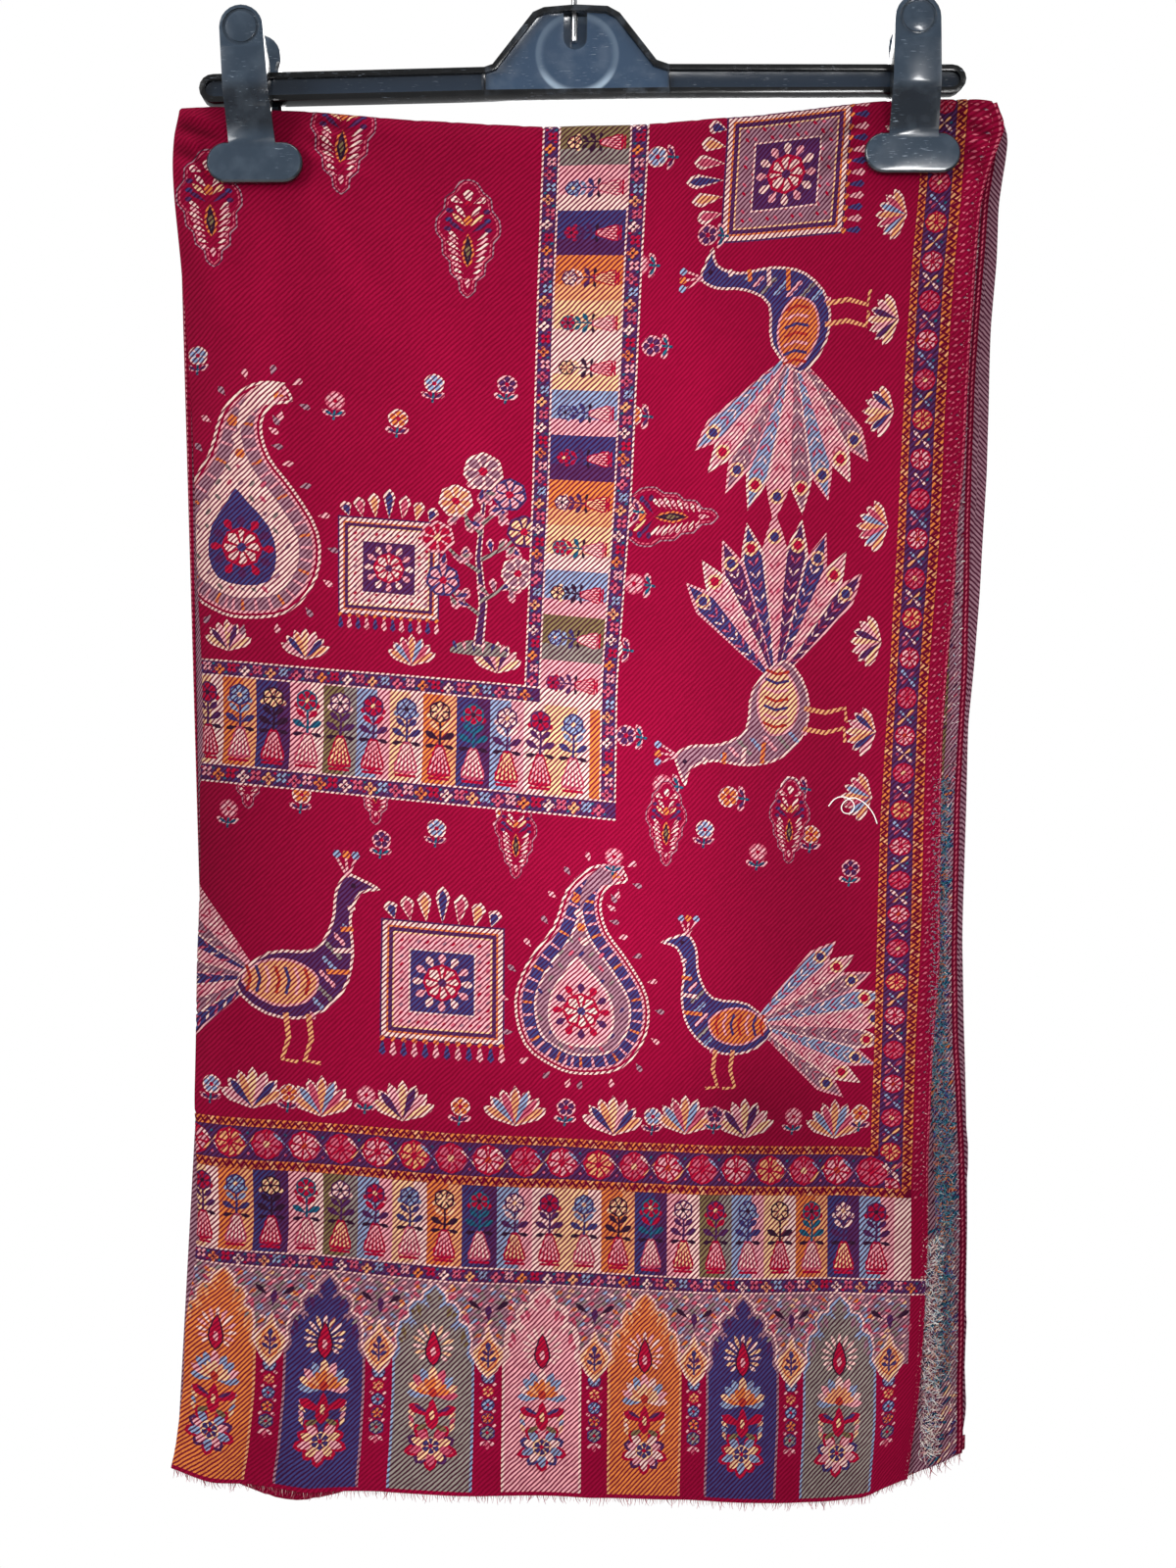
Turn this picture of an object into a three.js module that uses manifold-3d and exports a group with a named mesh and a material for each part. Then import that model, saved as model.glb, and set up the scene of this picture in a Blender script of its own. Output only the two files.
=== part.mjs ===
// A kani shawl folded in half and then in three, pinched by the two clips of a hanger.
// Millimetres, +Z up, the front faces -Y.
// The origin is the point inside the top of the hook where a rail bears.
import * as THREE from 'three';
import { mergeVertices } from 'three/addons/utils/BufferGeometryUtils.js';
import Module from 'manifold-3d';

const wasm = await Module();
wasm.setup();

// The shawl: seven of its fourteen end arches lie across the folded width.
const CLOTH_WALL = 1.1;
const PINCHED_GAP = 0.3;
const LOOSE_GAP = 0.6;
const PINCHED_HALF_DEPTH = 3.05;
const LOOSE_HALF_DEPTH = 6.1;
const PINCH_REACH = 85;
const FOLD_LIMB = 1.4;
const SEAM_GAP = 0.4;
const PAST_BEND = CLOTH_WALL + LOOSE_GAP / 2 + FOLD_LIMB + 2 * SEAM_GAP;
const TOP_RETURN = 6;
const BOTTOM_RETURN = 4;
const FIRST_COLUMN = 138;
const LAST_COLUMN = -174;
const COLUMN_STEP = 24;
const EDGE_COLUMNS = 3;
const ROWS = 22;
const ROW_CROWDING = 1.4;
const BEND_STEPS = 4;
const ROLL_STEPS = 6;

// The crosswise fold that hangs over nothing but its own layers, left to right.
const TOP_FOLD = [
  { x: -189.6, z: -108.2 },
  { x: -174.0, z: -107.3 },
  { x: -144.6, z: -109.2 },
  { x: -127.8, z: -109.8 },
  { x: -79.6, z: -114.0 },
  { x: -14.1, z: -117.3 },
  { x: 28.0, z: -116.1 },
  { x: 85.6, z: -111.7 },
  { x: 132.9, z: -105.8 },
  { x: 147.4, z: -104.6 },
  { x: 173.1, z: -103.9 },
  { x: 196.0, z: -103.9 },
  { x: 205.0, z: -106.5 },
];

// The end hem of the front layer, left to right.
const FRONT_HEM = [
  { x: -195.0, z: -759.4 },
  { x: -174.6, z: -764.6 },
  { x: -156.5, z: -765.0 },
  { x: -129.0, z: -769.8 },
  { x: -95.5, z: -768.0 },
  { x: -46.6, z: -769.9 },
  { x: 5.6, z: -771.8 },
  { x: 51.7, z: -771.3 },
  { x: 96.4, z: -773.6 },
  { x: 120.1, z: -774.1 },
  { x: 136.4, z: -772.2 },
  { x: 144.8, z: -767.6 },
  { x: 156.5, z: -762.4 },
];

// The end hem of the back half of the front third.
const UNDER_HEM = [
  { x: -190.0, z: -757.5 },
  { x: -100.0, z: -764.5 },
  { x: 100.0, z: -770.5 },
  { x: 140.0, z: -766.5 },
  { x: 158.0, z: -760.6 },
  { x: 172.0, z: -757.0 },
  { x: 184.0, z: -750.8 },
];

// The lower crosswise fold, behind the hems.
const BOTTOM_FOLD = [
  { x: -196.0, z: -759.5 },
  { x: -178.0, z: -763.0 },
  { x: -160.0, z: -768.6 },
  { x: -148.0, z: -773.8 },
  { x: -134.0, z: -776.4 },
  { x: -122.0, z: -774.4 },
  { x: -105.0, z: -770.0 },
  { x: -14.0, z: -771.6 },
  { x: 52.0, z: -772.6 },
  { x: 122.0, z: -774.4 },
  { x: 142.0, z: -770.6 },
  { x: 158.8, z: -763.6 },
  { x: 175.0, z: -757.4 },
  { x: 188.0, z: -751.0 },
];

// The lengthwise fold at the left, top to bottom.
const LEFT_FOLD = [
  { z: -103.0, x: -187.6 },
  { z: -109.1, x: -188.8 },
  { z: -116.1, x: -190.9 },
  { z: -124.4, x: -192.3 },
  { z: -136.1, x: -192.8 },
  { z: -151.5, x: -191.9 },
  { z: -180.3, x: -189.1 },
  { z: -222.2, x: -185.8 },
  { z: -268.8, x: -183.5 },
  { z: -338.7, x: -181.2 },
  { z: -385.2, x: -178.8 },
  { z: -410.8, x: -178.4 },
  { z: -431.8, x: -180.2 },
  { z: -469.1, x: -179.8 },
  { z: -524.9, x: -181.6 },
  { z: -583.1, x: -182.6 },
  { z: -641.4, x: -180.9 },
  { z: -664.6, x: -182.8 },
  { z: -687.9, x: -186.7 },
  { z: -720.5, x: -187.9 },
  { z: -753.1, x: -192.3 },
  { z: -762.0, x: -194.9 },
];

// The free selvedges at the right: front layer, the layer under it, the hidden layers and the rear one.
const SELVEDGES = [
  { z: -103.3, front: 197.6, under: 197.0, inner: 196.0, rear: 198.4 },
  { z: -109.5, front: 200.4, under: 199.5, inner: 198.5, rear: 204.0 },
  { z: -115.0, front: 204.6, under: 202.5, inner: 201.5, rear: 206.8 },
  { z: -120.3, front: 203.6, under: 201.5, inner: 201.5, rear: 206.4 },
  { z: -127.7, front: 200.2, under: 200.0, inner: 201.0, rear: 205.8 },
  { z: -137.0, front: 197.0, under: 198.8, inner: 200.0, rear: 204.2 },
  { z: -152.4, front: 192.3, under: 196.2, inner: 197.5, rear: 202.0 },
  { z: -179.9, front: 190.0, under: 194.3, inner: 196.0, rear: 201.5 },
  { z: -212.0, front: 187.8, under: 191.6, inner: 194.5, rear: 199.2 },
  { z: -245.0, front: 185.7, under: 189.6, inner: 193.0, rear: 198.6 },
  { z: -282.8, front: 183.9, under: 188.2, inner: 191.5, rear: 197.8 },
  { z: -306.5, front: 181.1, under: 187.4, inner: 190.2, rear: 196.4 },
  { z: -341.9, front: 179.3, under: 186.8, inner: 189.0, rear: 194.4 },
  { z: -377.6, front: 175.8, under: 186.2, inner: 188.0, rear: 191.9 },
  { z: -407.5, front: 173.5, under: 184.5, inner: 186.6, rear: 188.9 },
  { z: -449.1, front: 172.6, under: 182.2, inner: 184.2, rear: 187.8 },
  { z: -516.6, front: 172.3, under: 181.2, inner: 183.0, rear: 186.0 },
  { z: -558.0, front: 169.0, under: 182.0, inner: 184.0, rear: 186.8 },
  { z: -605.5, front: 166.7, under: 184.5, inner: 186.0, rear: 188.0 },
  { z: -655.3, front: 166.2, under: 185.4, inner: 186.8, rear: 188.3 },
  { z: -689.3, front: 164.4, under: 184.8, inner: 186.0, rear: 188.0 },
  { z: -719.1, front: 162.5, under: 184.2, inner: 185.4, rear: 187.0 },
  { z: -736.8, front: 160.2, under: 184.2, inner: 185.4, rear: 187.4 },
  { z: -748.0, front: 158.6, under: 184.0, inner: 185.0, rear: 188.2 },
  { z: -765.0, front: 156.4, under: 183.0, inner: 183.0, rear: 185.0 },
];

// How far the loose stack opens away from the clips, top to bottom.
const OPENING = [
  { z: -103, half: 3.9 },
  { z: -125, half: 4.3 },
  { z: -180, half: 5.1 },
  { z: -300, half: 5.7 },
  { z: -450, half: LOOSE_HALF_DEPTH },
  { z: -700, half: LOOSE_HALF_DEPTH },
  { z: -775, half: 5.8 },
];

// Soft folds down the hanging stack: negative depth comes towards the front.
const DRAPES = [
  { x: -172, wide: 16, depth: -1.3, start: -150, full: -330 },
  { x: -118, wide: 30, depth: 1.7, start: -160, full: -420 },
  { x: -42, wide: 36, depth: -1.6, start: -140, full: -520 },
  { x: 48, wide: 34, depth: 1.5, start: -140, full: -400 },
  { x: 118, wide: 24, depth: -1.5, start: -170, full: -560 },
  { x: 172, wide: 18, depth: 1.2, start: -150, full: -330 },
];

// The three hidden layers: leaves at the right selvedges, a step at the left folds.
const LEAF_DEPTH = 11;
const LEAVES = [
  { back: 0, from: 0, to: 0.27 },
  { back: 2.2, from: 0.38, to: 0.62 },
  { back: 0.9, from: 0.73, to: 1 },
];
const INNER_LEFT = 1.8;
const LEFT_STEP = 0.22;
const END_INSET = 2;
const TOP_CORNER_INSET = 7;
const STEP_DROP = 0.7;
const STEP_RISE = 0.5;
const CAP_ANGLES = [80, 55, 28];

// The eyelash fringe left by the cut warp ends.
const FRINGE_PITCH = 3.5;
const FRINGE_LENGTH = 3.4;
const FRINGE_ROOT = 0.6;
const FRINGE_STRIP = 1.2;
const FRINGE_THICKNESS = 0.8;

// The hanger: an I-section bar with a raised neck, moulded in one.
const HANGER_DEPTH = 8;
const HANGER_RIM = 2.7;
const HANGER_WEB = 3.2;
const BAR_END_RADIUS = 6.7;
const RIB_WIDTH = 1;
const RIBS = [-45.4, 43.4];
const DISH = { x: -0.5, z: -82.6, radius: 19.6, depth: 0.9 };
const SLOT = { x: -1.4, top: -62.9, bottom: -80.3, width: 11.2, floor: 2.6 };
const BOSS = { width: 17, top: -61.5, bottom: -84.5 };
const LEFT_BAR_END = { x: -174.2, z: -99.9 };
const RIGHT_BAR_END = { x: 178.4, z: -95.3 };
const HANGER_TOP = [
  [-56.1, -90.1],
  [-44.9, -89.8],
  [-40.9, -88.4],
  [-21.6, -63.6],
  [-16.4, -61.3],
  [-1.5, -60.0],
  [14.0, -60.7],
  [19.8, -63.9],
  [37.4, -86.4],
  [43.2, -88.4],
];
const HANGER_BOTTOM = [
  [42.0, -102.2],
  [-43.5, -103.4],
  [-56.1, -103.8],
];

// The wire hook.
const WIRE_RADIUS = 1.45;
const WIRE_SIDES = 8;
const WIRE_STEPS = 40;
const WIRE_HOLE = 0.4;
const HOOK_INNER_RADIUS = 19;
const SHANK_X = -1.8;
const SHANK_END = -76.2;

// The clips: two sprung arms each, astride the bar.
const ARM_SIDE_WALL = 1.8;
const BAR_CLEARANCE = 0.4;
const PAD = { width: 45.6, height: 19, thickness: 4.2, bevel: 0.9 };
const PAD_CLEARANCE = 0.35;
const REAR_ARM_SHIFT = 2.5;
const DISC_GROOVE = { outer: 8.7, inner: 7.2, depth: 0.6 };
const SPRING = { radius: 4.2, wire: 0.6, turns: 4, half: 14.7 };
const CLIPS = [
  {
    side: 'left',
    topX: -158.2,
    topZ: -76.4,
    topWidth: 20.4,
    footX: -154.4,
    footWidth: 22.4,
    padX: -153.9,
    padZ: -136.2,
  },
  {
    side: 'right',
    topX: 159.7,
    topZ: -71.8,
    topWidth: 21.4,
    footX: 159.4,
    footWidth: 23.8,
    padX: 159.0,
    padZ: -131.6,
  },
];

// Face of an arm seen from the side, measured from the pad's centre: upright handle, shoulder, inward sweep.
const ARM_FACE = [
  [-17.6, 78],
  [-17.2, 50],
  [-16.4, 31],
  [-15.6, 28],
  [-13.4, 24],
  [-8.6, 11.4],
  [-7.6, 7],
  [-7.6, 2],
];

// The back of the same arm, in the same order.
const ARM_BACK = [
  [-15.2, 78],
  [-14.8, 50],
  [-14.0, 31],
  [-12.7, 27],
  [-10.5, 23],
  [-5.7, 10.4],
  [-4.7, 6],
  [-4.7, 2],
];

// Side walls of the arm's channel, reaching back to bear on the bar.
const LEVER_BACK = [
  [-15, 26.6],
  [-11.6, 21],
];
const LEVER_TOP = 48;
const LEVER_FOOT = 31.5;

const group = new THREE.Group();
group.name = 'kani_shawl_on_hanger';

function add(name, geometry, colour, roughness, metalness) {
  const material = new THREE.MeshStandardMaterial({ color: colour, roughness, metalness });
  material.name = name;
  const mesh = new THREE.Mesh(geometry, material);
  mesh.name = name;
  group.add(mesh);
}

// Straight-line value of one column at a place along another column of a table.
function lookUp(table, along, at, want) {
  const last = table.length - 1;
  const rising = table[last][along] > table[0][along];
  const place = (row) => (rising ? row[along] : -row[along]);
  const target = rising ? at : -at;
  if (target <= place(table[0])) return table[0][want];
  if (target >= place(table[last])) return table[last][want];
  let i = 0;
  while (place(table[i + 1]) < target) i += 1;
  const share = (target - place(table[i])) / (place(table[i + 1]) - place(table[i]));
  return THREE.MathUtils.lerp(table[i][want], table[i + 1][want], share);
}

// One at a clip's jaws and above them, fading to nothing a hand's width away.
function pinchAt(x, z) {
  let pinch = 0;
  for (const clip of CLIPS) {
    const aside = Math.max(Math.abs(x - clip.padX) - PAD.width / 2 - 2, 0);
    const below = Math.max(clip.padZ - PAD.height / 2 - 2 - z, 0);
    const away = Math.min(Math.hypot(aside, below * 0.8) / PINCH_REACH, 1);
    pinch = Math.max(pinch, 1 - THREE.MathUtils.smoothstep(away, 0, 1));
  }
  return pinch;
}

function halfDepthAt(x, z) {
  const loose = lookUp(OPENING, 'z', z, 'half');
  return THREE.MathUtils.lerp(loose, PINCHED_HALF_DEPTH, pinchAt(x, z));
}

function gapAt(x, z) {
  const share = (halfDepthAt(x, z) - PINCHED_HALF_DEPTH) / (LOOSE_HALF_DEPTH - PINCHED_HALF_DEPTH);
  return THREE.MathUtils.lerp(PINCHED_GAP, LOOSE_GAP, share);
}

function middleAt(x, z) {
  let y = 0;
  for (const drape of DRAPES) {
    const ramp = THREE.MathUtils.smoothstep(-z, -drape.start, -drape.full);
    y += drape.depth * ramp * Math.exp(-(((x - drape.x) / drape.wide) ** 2));
  }
  return y;
}

// A point at a depth below the front face of the stack, below its rear face,
// on the roll at the top, or on the roll at the bottom.
function frontPoint(x, z, depth) {
  return [x, middleAt(x, z) - halfDepthAt(x, z) + depth, z];
}

function rearPoint(x, z, depth) {
  return [x, middleAt(x, z) + halfDepthAt(x, z) - depth, z];
}

function topRollPoint(x, angle, depth) {
  const top = lookUp(TOP_FOLD, 'x', x, 'z');
  const radius = halfDepthAt(x, top);
  const centre = top - radius;
  const y = middleAt(x, centre) - (radius - depth) * Math.cos(angle);
  return [x, y, centre + (radius - depth) * Math.sin(angle)];
}

// Depth of the front of the hidden layers, behind the front layer and the one under it.
function hiddenFrontAt(x, z) {
  return 2 * (CLOTH_WALL + gapAt(x, z));
}

function bottomRadiusAt(x, z) {
  return halfDepthAt(x, z) - hiddenFrontAt(x, z) / 2;
}

function bottomRollPoint(x, angle, depth) {
  const bottom = lookUp(BOTTOM_FOLD, 'x', x, 'z');
  const radius = bottomRadiusAt(x, bottom);
  const centre = bottom + radius;
  const axis = middleAt(x, centre) + halfDepthAt(x, centre) - radius;
  return [x, axis + (radius - depth) * Math.cos(angle), centre - (radius - depth) * Math.sin(angle)];
}

function volumeOf(points, faces) {
  const corner = (i) => new THREE.Vector3(points[i * 3], points[i * 3 + 1], points[i * 3 + 2]);
  let volume = 0;
  for (let i = 0; i < faces.length; i += 3) {
    volume += corner(faces[i]).dot(corner(faces[i + 1]).cross(corner(faces[i + 2]))) / 6;
  }
  return volume;
}

// Index lists that split the end of a sheet into one small patch between each pair of columns.
function sheetPatches(count) {
  const patches = [];
  for (let i = 0; i + 1 < count / 2; i += 1) patches.push([i, i + 1, count - 2 - i, count - 1 - i]);
  return patches;
}

// Closed solid through rows of rings with the same count of points. Each end is closed patch by
// patch, the patches laid out by the ring's own across-and-depth coordinates.
function solidFromRings(rings, layout, patches = sheetPatches(layout.length)) {
  const count = layout.length;
  const points = rings.flat(2);
  const faces = [];
  for (let i = 0; i + 1 < rings.length; i += 1) {
    for (let j = 0; j < count; j += 1) {
      const a = i * count + j;
      const b = i * count + ((j + 1) % count);
      faces.push(a, b, b + count, a, b + count, a + count);
    }
  }
  const place = layout.map(([x, d]) => new THREE.Vector2(x, d));
  const turn = Math.sign(THREE.ShapeUtils.area(place));
  const end = (rings.length - 1) * count;
  for (const patch of patches) {
    const corners = patch.map((i) => place[i]);
    for (const [a, b, c] of THREE.ShapeUtils.triangulateShape(corners, [])) {
      const follows = THREE.ShapeUtils.area([corners[a], corners[b], corners[c]]) * turn > 0;
      const [first, second, third] = (follows ? [a, b, c] : [a, c, b]).map((k) => patch[k]);
      faces.push(first, third, second);
      faces.push(end + first, end + second, end + third);
    }
  }
  if (volumeOf(points, faces) < 0) faces.reverse();
  const geometry = new THREE.BufferGeometry();
  geometry.setAttribute('position', new THREE.Float32BufferAttribute(points, 3));
  geometry.setIndex(faces);
  geometry.computeVertexNormals();
  return geometry;
}

// Places across the cloth, right to left; every layer shares the middle ones.
function columnsFrom(right, left) {
  const places = [];
  for (let i = 0; i < EDGE_COLUMNS; i += 1) {
    places.push(THREE.MathUtils.lerp(right, FIRST_COLUMN, i / EDGE_COLUMNS));
  }
  for (let x = FIRST_COLUMN; x >= LAST_COLUMN; x -= COLUMN_STEP) places.push(x);
  places.push(left);
  return places;
}

// Section of a layer that is bent round on itself at the left fold, as across-and-depth pairs.
function bentSection(left, right, gap) {
  const radius = CLOTH_WALL + gap / 2;
  const centre = left + radius;
  const outer = [];
  const inner = [];
  for (const x of columnsFrom(right, centre)) {
    outer.push([x, 0]);
    inner.push([x, CLOTH_WALL]);
  }
  for (let i = 1; i <= BEND_STEPS; i += 1) {
    const angle = (Math.PI * i) / BEND_STEPS;
    outer.push([centre - radius * Math.sin(angle), radius - radius * Math.cos(angle)]);
    inner.push([
      centre - (radius - CLOTH_WALL) * Math.sin(angle),
      radius - (radius - CLOTH_WALL) * Math.cos(angle),
    ]);
  }
  outer.push([centre + FOLD_LIMB, 2 * radius]);
  inner.push([centre + FOLD_LIMB, 2 * radius - CLOTH_WALL]);
  return outer.concat(inner.reverse());
}

function rowShare(row) {
  return (row / ROWS) ** ROW_CROWDING;
}

function rowHeight(x, share, lowest) {
  const top = lookUp(TOP_FOLD, 'x', x, 'z');
  return THREE.MathUtils.lerp(top - halfDepthAt(x, top), lowest, share);
}

// The front layer: hem to top, over the top roll and a little way down the rear.
const frontRings = [];
const frontLayout = bentSection(-200, 200, LOOSE_GAP);
for (let row = ROWS; row >= 0; row -= 1) {
  const share = rowShare(row);
  const guess = THREE.MathUtils.lerp(-108, -763, share);
  const right = lookUp(SELVEDGES, 'z', guess, 'front');
  const left = lookUp(LEFT_FOLD, 'z', guess, 'x');
  const section = bentSection(left, right, gapAt(left, guess));
  frontRings.push(section.map(([x, depth]) => {
    const z = rowHeight(x, share, lookUp(FRONT_HEM, 'x', x, 'z'));
    return frontPoint(x, z, depth);
  }));
}
const topLeft = lookUp(LEFT_FOLD, 'z', TOP_FOLD[0].z, 'x');
for (let step = 1; step <= ROLL_STEPS; step += 1) {
  const angle = (Math.PI * step) / ROLL_STEPS;
  const right = step === ROLL_STEPS ? SELVEDGES[1].rear : SELVEDGES[0].front;
  const section = bentSection(topLeft, right, gapAt(topLeft, TOP_FOLD[0].z));
  frontRings.push(section.map(([x, depth]) => topRollPoint(x, angle, depth)));
}
const returnSection = bentSection(topLeft, SELVEDGES[2].rear, gapAt(topLeft, TOP_FOLD[0].z));
frontRings.push(returnSection.map(([x, depth]) => {
  return rearPoint(x, rowHeight(x, 0, 0) - TOP_RETURN, depth);
}));
add('front_panel', solidFromRings(frontRings, frontLayout), 0x8c0a2c, 0.8, 0);

// The back half of the front third: its wrong side shows past the front selvedge.
const underRings = [];
const sheetLayout = (places) => [
  ...places.map((x) => [x, 0]),
  ...places.slice().reverse().map((x) => [x, 1]),
];
for (let row = ROWS; row >= 0; row -= 1) {
  const share = rowShare(row);
  const guess = THREE.MathUtils.lerp(-109, -755, share);
  const left = lookUp(LEFT_FOLD, 'z', guess, 'x') + PAST_BEND;
  const right = lookUp(SELVEDGES, 'z', guess, 'under');
  underRings.push(sheetLayout(columnsFrom(right, left)).map(([x, back]) => {
    const z = rowHeight(x, share, lookUp(UNDER_HEM, 'x', x, 'z')) - (row === 0 ? 2 * STEP_DROP : 0);
    return frontPoint(x, z, CLOTH_WALL + gapAt(x, z) + back * CLOTH_WALL);
  }));
}
const underLayout = sheetLayout(columnsFrom(200, -200));
add('under_panel', solidFromRings(underRings, underLayout), 0x8a6a76, 0.85, 0);

// The rear layer: from the top return down, round the bottom roll and a little way up inside.
const rearRings = [];
const rearLayout = bentSection(-200, 200, LOOSE_GAP);
for (let row = 0; row <= ROWS; row += 1) {
  const share = rowShare(row);
  const guess = THREE.MathUtils.lerp(-115, -755, share);
  const right = lookUp(SELVEDGES, 'z', guess, 'rear');
  const left = lookUp(LEFT_FOLD, 'z', guess, 'x');
  const section = bentSection(left, right, gapAt(left, guess));
  rearRings.push(section.map(([x, depth]) => {
    const bottom = lookUp(BOTTOM_FOLD, 'x', x, 'z');
    const start = rowHeight(x, 0, 0) - TOP_RETURN - SEAM_GAP;
    const z = THREE.MathUtils.lerp(start, bottom + bottomRadiusAt(x, bottom), share);
    return rearPoint(x, z, depth);
  }));
}
const bottomLeft = lookUp(LEFT_FOLD, 'z', -758, 'x');
const bottomSection = bentSection(bottomLeft, SELVEDGES[SELVEDGES.length - 1].rear, gapAt(bottomLeft, -758));
for (let step = 1; step <= ROLL_STEPS; step += 1) {
  const angle = (Math.PI * step) / ROLL_STEPS;
  rearRings.push(bottomSection.map(([x, depth]) => bottomRollPoint(x, angle, depth)));
}
rearRings.push(bottomSection.map(([x, depth]) => {
  const [, y, z] = bottomRollPoint(x, Math.PI, depth);
  return [x, y, z + BOTTOM_RETURN];
}));
add('back_panel', solidFromRings(rearRings, rearLayout), 0x8c0a2c, 0.8, 0);

// The three hidden layers as one solid, leaved at the right and stepped at the left:
// across-and-share pairs, where the share runs from the front of the solid to its back.
function innerSection(left, right) {
  const pairs = [];
  for (const leaf of LEAVES) {
    const middle = (leaf.from + leaf.to) / 2;
    if (leaf.from > 0) pairs.push([right - LEAF_DEPTH, leaf.from]);
    pairs.push([right - leaf.back - 0.8, leaf.from]);
    pairs.push([right - leaf.back, middle]);
    pairs.push([right - leaf.back - 0.8, leaf.to]);
    if (leaf.to < 1) pairs.push([right - LEAF_DEPTH, leaf.to]);
  }
  const stepped = left + PAST_BEND;
  const across = columnsFrom(right - LEAF_DEPTH, stepped).slice(1);
  for (const x of across) pairs.push([x, 1]);
  pairs.push([stepped, LEFT_STEP]);
  pairs.push([left + INNER_LEFT + 0.8, LEFT_STEP]);
  pairs.push([left + INNER_LEFT, LEFT_STEP / 2]);
  pairs.push([left + INNER_LEFT + 0.8, 0]);
  for (const x of across.slice(0, -1).reverse()) pairs.push([x, 0]);
  return pairs;
}

// The same for the hidden layers: the leaves, a patch between each pair of columns, the left step.
function innerPatches(layout) {
  const leafPoints = 5 * LEAVES.length - 2;
  const across = (layout.length - leafPoints - 3) / 2;
  const last = layout.length - 1;
  const patches = [[...Array(leafPoints + 1).keys(), last]];
  for (let i = 0; i + 2 < across; i += 1) {
    patches.push([leafPoints + i, leafPoints + i + 1, last - i - 1, last - i]);
  }
  const left = leafPoints + across - 2;
  patches.push([0, 1, 2, 3, 4, 5, 6].map((i) => left + i));
  return patches;
}

function innerPoint(x, share, z, frontDepth) {
  const back = 2 * halfDepthAt(x, z) - CLOTH_WALL - gapAt(x, z);
  return frontPoint(x, z, THREE.MathUtils.lerp(frontDepth, back, share));
}

const innerRings = [];
const innerTopLeft = lookUp(LEFT_FOLD, 'z', -109, 'x') + END_INSET;
const innerTop = innerSection(innerTopLeft, SELVEDGES[0].inner - TOP_CORNER_INSET);
for (const degrees of CAP_ANGLES) {
  const angle = THREE.MathUtils.degToRad(degrees);
  innerRings.push(innerTop.map(([x, share]) => {
    const top = lookUp(TOP_FOLD, 'x', x, 'z');
    const radius = halfDepthAt(x, top);
    const inside = radius - CLOTH_WALL - gapAt(x, top);
    const y = middleAt(x, top) + inside * Math.cos(angle) * (2 * share - 1);
    return [x, y, top - radius + inside * Math.sin(angle)];
  }));
}
innerRings.push(innerTop.map(([x, share]) => {
  const z = rowHeight(x, 0, 0);
  return innerPoint(x, share, z, CLOTH_WALL + gapAt(x, z));
}));
for (let row = 0; row <= ROWS; row += 1) {
  const share = rowShare(row);
  const guess = THREE.MathUtils.lerp(-109, -752, share);
  const inset = row === 0 || row === ROWS ? END_INSET : 0;
  const left = lookUp(LEFT_FOLD, 'z', guess, 'x') + inset;
  const right = lookUp(SELVEDGES, 'z', guess, 'inner');
  innerRings.push(innerSection(left, right).map(([x, place]) => {
    const bottom = lookUp(BOTTOM_FOLD, 'x', x, 'z');
    const start = rowHeight(x, 0, 0) - STEP_DROP;
    const finish = bottom + bottomRadiusAt(x, bottom) + BOTTOM_RETURN + SEAM_GAP + STEP_RISE;
    const z = THREE.MathUtils.lerp(start, finish, share);
    return innerPoint(x, place, z, hiddenFrontAt(x, z));
  }));
}
const innerBottomLeft = lookUp(LEFT_FOLD, 'z', -752, 'x') + END_INSET;
const innerBottom = innerSection(innerBottomLeft, SELVEDGES[SELVEDGES.length - 1].inner);
innerRings.push(innerBottom.map(([x, place]) => {
  const bottom = lookUp(BOTTOM_FOLD, 'x', x, 'z');
  const z = bottom + bottomRadiusAt(x, bottom) + BOTTOM_RETURN + SEAM_GAP;
  return innerPoint(x, place, z, hiddenFrontAt(x, z) + CLOTH_WALL + gapAt(x, z));
}));
for (const degrees of [0, ...CAP_ANGLES.slice().reverse()]) {
  const angle = THREE.MathUtils.degToRad(degrees);
  innerRings.push(innerBottom.map(([x, share]) => {
    const bottom = lookUp(BOTTOM_FOLD, 'x', x, 'z');
    const radius = bottomRadiusAt(x, bottom);
    const inside = radius - CLOTH_WALL - gapAt(x, bottom);
    const axis = middleAt(x, bottom + radius) + halfDepthAt(x, bottom + radius) - radius;
    const y = axis + inside * Math.cos(angle) * (2 * share - 1);
    return [x, y, bottom + radius - inside * Math.sin(angle)];
  }));
}
add('inner_layers', solidFromRings(innerRings, innerTop, innerPatches(innerTop)), 0x7a2038, 0.85, 0);

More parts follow.
